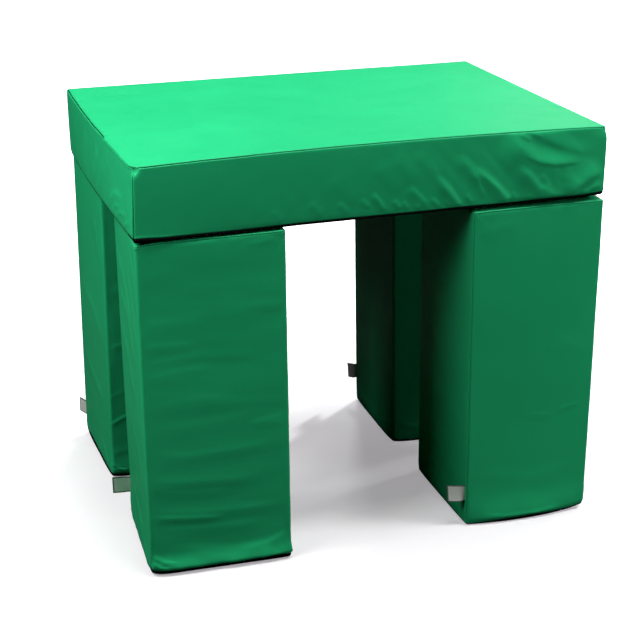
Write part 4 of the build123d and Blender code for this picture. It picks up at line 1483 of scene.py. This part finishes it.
def make_deck():
    bands = {
        0: ("deck_cover_front", "deck_front_band", lambda u: 0.12 + 0.88 * fade(u, -160.0, 330.0)),
        1: ("deck_cover_right", "deck_right_band", lambda u: 0.35 + 0.5 * fade(-u, -60.0, 300.0)),
        2: ("deck_cover_back", "deck_back_band", lambda u: 0.30 + 0.3 * fade(np.abs(u), 200.0, 480.0)),
        3: ("deck_cover_left", "deck_left_band", lambda u: 0.10 + 0.35 * fade(u, 60.0, 320.0)),
    }
    for side, (name, node_name, slack) in bands.items():
        levels, columns = (), {}
        if side == 2:
            levels = [DECK.m_side(ZIP_Z + d) for d in (-6.4, -5.0, -4.55, -4.1, -2.6, -0.9, 0.9, 2.6, 4.1, 4.55, 5.0, 6.4)]
            columns = {2: [s * (DECK_ZIP / 2 + d) for s in (-1, 1) for d in (-0.45, 0.0, 0.45)]}
        # Painted shade in the band seams: dark = (bottom, top, upright) strengths.
        piece = wrap(name, DECK, [side], (), deck_top_seam, deck_bottom_seam, band_relief(side, 200 + 20 * side, slack), VINYL,
                     row_step=2.8, levels=levels, columns=columns, thickness=5.0, grooves=(1.4, 2.4, 1.4),
                     ridges=(0.4, 0.5, 0.5), dark=(0.3, deck_seam_shade, 0.24))
        show(piece, "deck", "green_vinyl", node_name)

    def top_lift(x, y, m, d):
        e = np.minimum(DECK_L / 2 - np.abs(x), DECK_W / 2 - np.abs(y))
        h = 1.6 * fade(e, 4.0, 160.0) + 0.7 * field(x / 210.0, y / 190.0, 301) * fade(e, 10.0, 90.0)
        h = h + 0.28 * field(x / 70.0, y / 60.0, 302) * fade(e, 6.0, 60.0)
        h = h + 0.30 * np.exp(-d / 9.0) * field(x / 19.0, y / 19.0, 303)
        h = h + 0.25 * np.exp(-e / 40.0) * field(x / 40.0, y / 40.0, 304) * fade(e, 3.0, 14.0)
        return h

    # Painted shade along the top seam, wider along the back and along the left side behind its kink.
    lid = cap("deck_cover_top", DECK, deck_top_seam, top_lift, VINYL, top=True, step=5.0, depth=2.2, ridge=0.35, dark=deck_seam_shade,
              reach=lambda side, u: np.where(side == 2, 3.6, np.where((side == 3) & (u < 122), 2.0, 1.25)))
    show(lid, "deck", "green_vinyl", "deck_top_panel")

    def base_lift(x, y, m, d):
        e = np.minimum(DECK_L / 2 - np.abs(x), DECK_W / 2 - np.abs(y))
        return -0.3 + 0.25 * field(x / 90.0, y / 90.0, 305) - 0.2 * np.exp(-e / 30.0)

    base = cap("deck_base_sheet", DECK, deck_bottom_seam, base_lift, BLACK, top=False, step=8.0, depth=1.1, ridge=0.25)
    show(base, "deck", "black_anti_slip", "deck_base_panel")
    core = Form(DECK_L / 2 - 9, DECK_W / 2 - 9, DECK_T - 13, 10.0, top=10.0, bottom=10.0,
                place=lambda p: deck_place(p + np.array([0, 0, 6.5])))
    block = closed_form("deck_foam_block", core, FOAM, step=28.0,
                        relief=lambda x, y, z: 0.5 * field(x / 40.0 + z / 37.0, y / 40.0, 306) - 0.5)
    show(block, "deck", "foam", "deck_foam_core")
    for k, (name, sx, sy) in enumerate((("front_left", -1, -1), ("back_left", -1, 1), ("front_right", 1, -1), ("back_right", 1, 1))):
        lo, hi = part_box("deck_hook_pad_" + name)
        cx, cy = (lo.x + hi.x) / 2 * 1000, (lo.y + hi.y) / 2 * 1000
        pad_piece("deck_hook_pad_" + name, "deck", "hook_tape", HOOK, (cx, cy), -PAD_T, 0.0, False,
                  "deck_hook_pad_" + name, deck_place, 320 + k)

    def at(x, y, z):
        return np.stack([x, DECK_W / 2 + y, ZIP_Z + z], -1)

    zip_pieces("deck", "deck", DECK_ZIP / 2, at, deck_place)
    for part in ("deck_zip_slider", "deck_zip_pull"):
        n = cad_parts[part]
        n.data.materials.clear()
        n.data.materials.append(METAL)


for number, leg in enumerate(LEGS):
    make_leg(leg, 1000 + 100 * number)
make_deck()


# ------------------------------------------------------------------ floor and light
def make_floor():
    n = 12
    g = np.linspace(-40, 40, n)
    x, y = np.meshgrid(g, g)
    v = np.stack([x, y, np.full(x.shape, -0.0004)], -1).reshape(-1, 3)
    mat = bpy.data.materials.new("studio_floor")
    mat.use_nodes = True
    t = mat.node_tree
    t.nodes.clear()
    out = t.nodes.new("ShaderNodeOutputMaterial")
    path = t.nodes.new("ShaderNodeLightPath")
    seen, unseen, glow, add, mix = (t.nodes.new(k) for k in (
        "ShaderNodeBsdfDiffuse", "ShaderNodeBsdfDiffuse", "ShaderNodeEmission", "ShaderNodeAddShader", "ShaderNodeMixShader"))
    seen.inputs[0].default_value = (0.84, 0.84, 0.85, 1)
    unseen.inputs[0].default_value = (FLOOR_BOUNCE,) * 3 + (1,)
    # The glow is tinted slightly magenta to offset the green bounce in the floor's shadows.
    glow.inputs[0].default_value = (1.0, 0.955, 1.0, 1)
    glow.inputs[1].default_value = FLOOR_GLOW
    # Painted light: the floor glows for camera rays only, lifting the shadows near the object; farther out the glow
    # rises so that the floor stays white.
    coord, ball = t.nodes.new("ShaderNodeTexCoord"), t.nodes.new("ShaderNodeVectorMath")
    ball.operation = "LENGTH"
    t.links.new(coord.outputs["Object"], ball.inputs[0])
    t.links.new(spread(t, ball.outputs["Value"], FLOOR_GLOW, 1.25, 1.25, 2.8), glow.inputs[1])
    t.links.new(seen.outputs[0], add.inputs[0])
    t.links.new(glow.outputs[0], add.inputs[1])
    t.links.new(path.outputs["Is Camera Ray"], mix.inputs[0])
    t.links.new(unseen.outputs[0], mix.inputs[1])
    t.links.new(add.outputs[0], mix.inputs[2])
    t.links.new(mix.outputs[0], out.inputs[0])
    build("studio_floor", v, [sheet_faces(np.arange(n * n).reshape(n, n))], mat)


def lamp(name, toward, distance, size, level, aim=(0.0, 0.0, 0.45), colour=(1, 1, 1)):
    """A square soft light. toward: direction from the object to the light. level: what a facing white surface shows."""
    data = bpy.data.lights.new(name, "AREA")
    data.shape, data.size = "SQUARE", size
    data.energy = level * math.pi ** 2 * distance ** 2
    data.color = colour
    obj = bpy.data.objects.new(name, data)
    d = Vector(toward).normalized()
    obj.location = Vector(aim) + d * distance
    obj.rotation_mode = "QUATERNION"
    obj.rotation_quaternion = d.to_track_quat("Z", "Y")
    bpy.context.scene.collection.objects.link(obj)
    return obj


FLOOR_BOUNCE, FLOOR_GLOW = 0.035, 0.335
make_floor()
# (elevation, azimuth from +X, level, size, seen in reflections, distance, bounces)
for number, (el, az, level, size, shine, far, bounces) in enumerate((
        (16, 41, 0.850, 0.3, False, 4.5, 0), (54, 180, 0.430, 1.0, True, 4.0, 1), (34, 70, 0.250, 0.5, False, 4.5, 0),
        (76, 270, 0.140, 0.6, True, 4.5, 1), (64, 330, 0.335, 0.6, True, 4.5, 1), (8, 317, 0.190, 1.0, False, 2.8, 0),
        (34, 204, 0.330, 0.8, False, 2.3, 1), (16, 335, 0.060, 0.4, False, 4.5, 0), (32, 14, 0.120, 0.35, False, 4.5, 0), (30, 52, 0.055, 1.2, True, 4.5, 0),
        (80, 90, 0.340, 1.0, True, 4.5, 1))):
    e, a = math.radians(el), math.radians(az)
    light = lamp("lamp_%d" % number, (math.cos(e) * math.cos(a), math.cos(e) * math.sin(a), math.sin(e)), far, size, level)
    light.visible_glossy = shine
    light.data.cycles.max_bounces = bounces


def make_world():
    world = bpy.data.worlds.new("studio")
    bpy.context.scene.world = world
    world.use_nodes = True
    t = world.node_tree
    t.nodes.clear()
    out = t.nodes.new("ShaderNodeOutputWorld")
    path = t.nodes.new("ShaderNodeLightPath")
    dim, gloss, pale = (t.nodes.new("ShaderNodeBackground") for _ in range(3))
    for n, level in ((dim, 0.012), (gloss, 0.02), (pale, 1.0)):
        n.inputs[0].default_value = (1, 1, 1, 1) if n is pale else (0.97, 0.98, 1.0, 1)
        n.inputs[1].default_value = level
    a, b = t.nodes.new("ShaderNodeMixShader"), t.nodes.new("ShaderNodeMixShader")
    t.links.new(path.outputs["Is Glossy Ray"], a.inputs[0])
    t.links.new(dim.outputs[0], a.inputs[1])
    t.links.new(gloss.outputs[0], a.inputs[2])
    t.links.new(path.outputs["Is Camera Ray"], b.inputs[0])
    t.links.new(a.outputs[0], b.inputs[1])
    t.links.new(pale.outputs[0], b.inputs[2])
    t.links.new(b.outputs[0], out.inputs[0])


make_world()
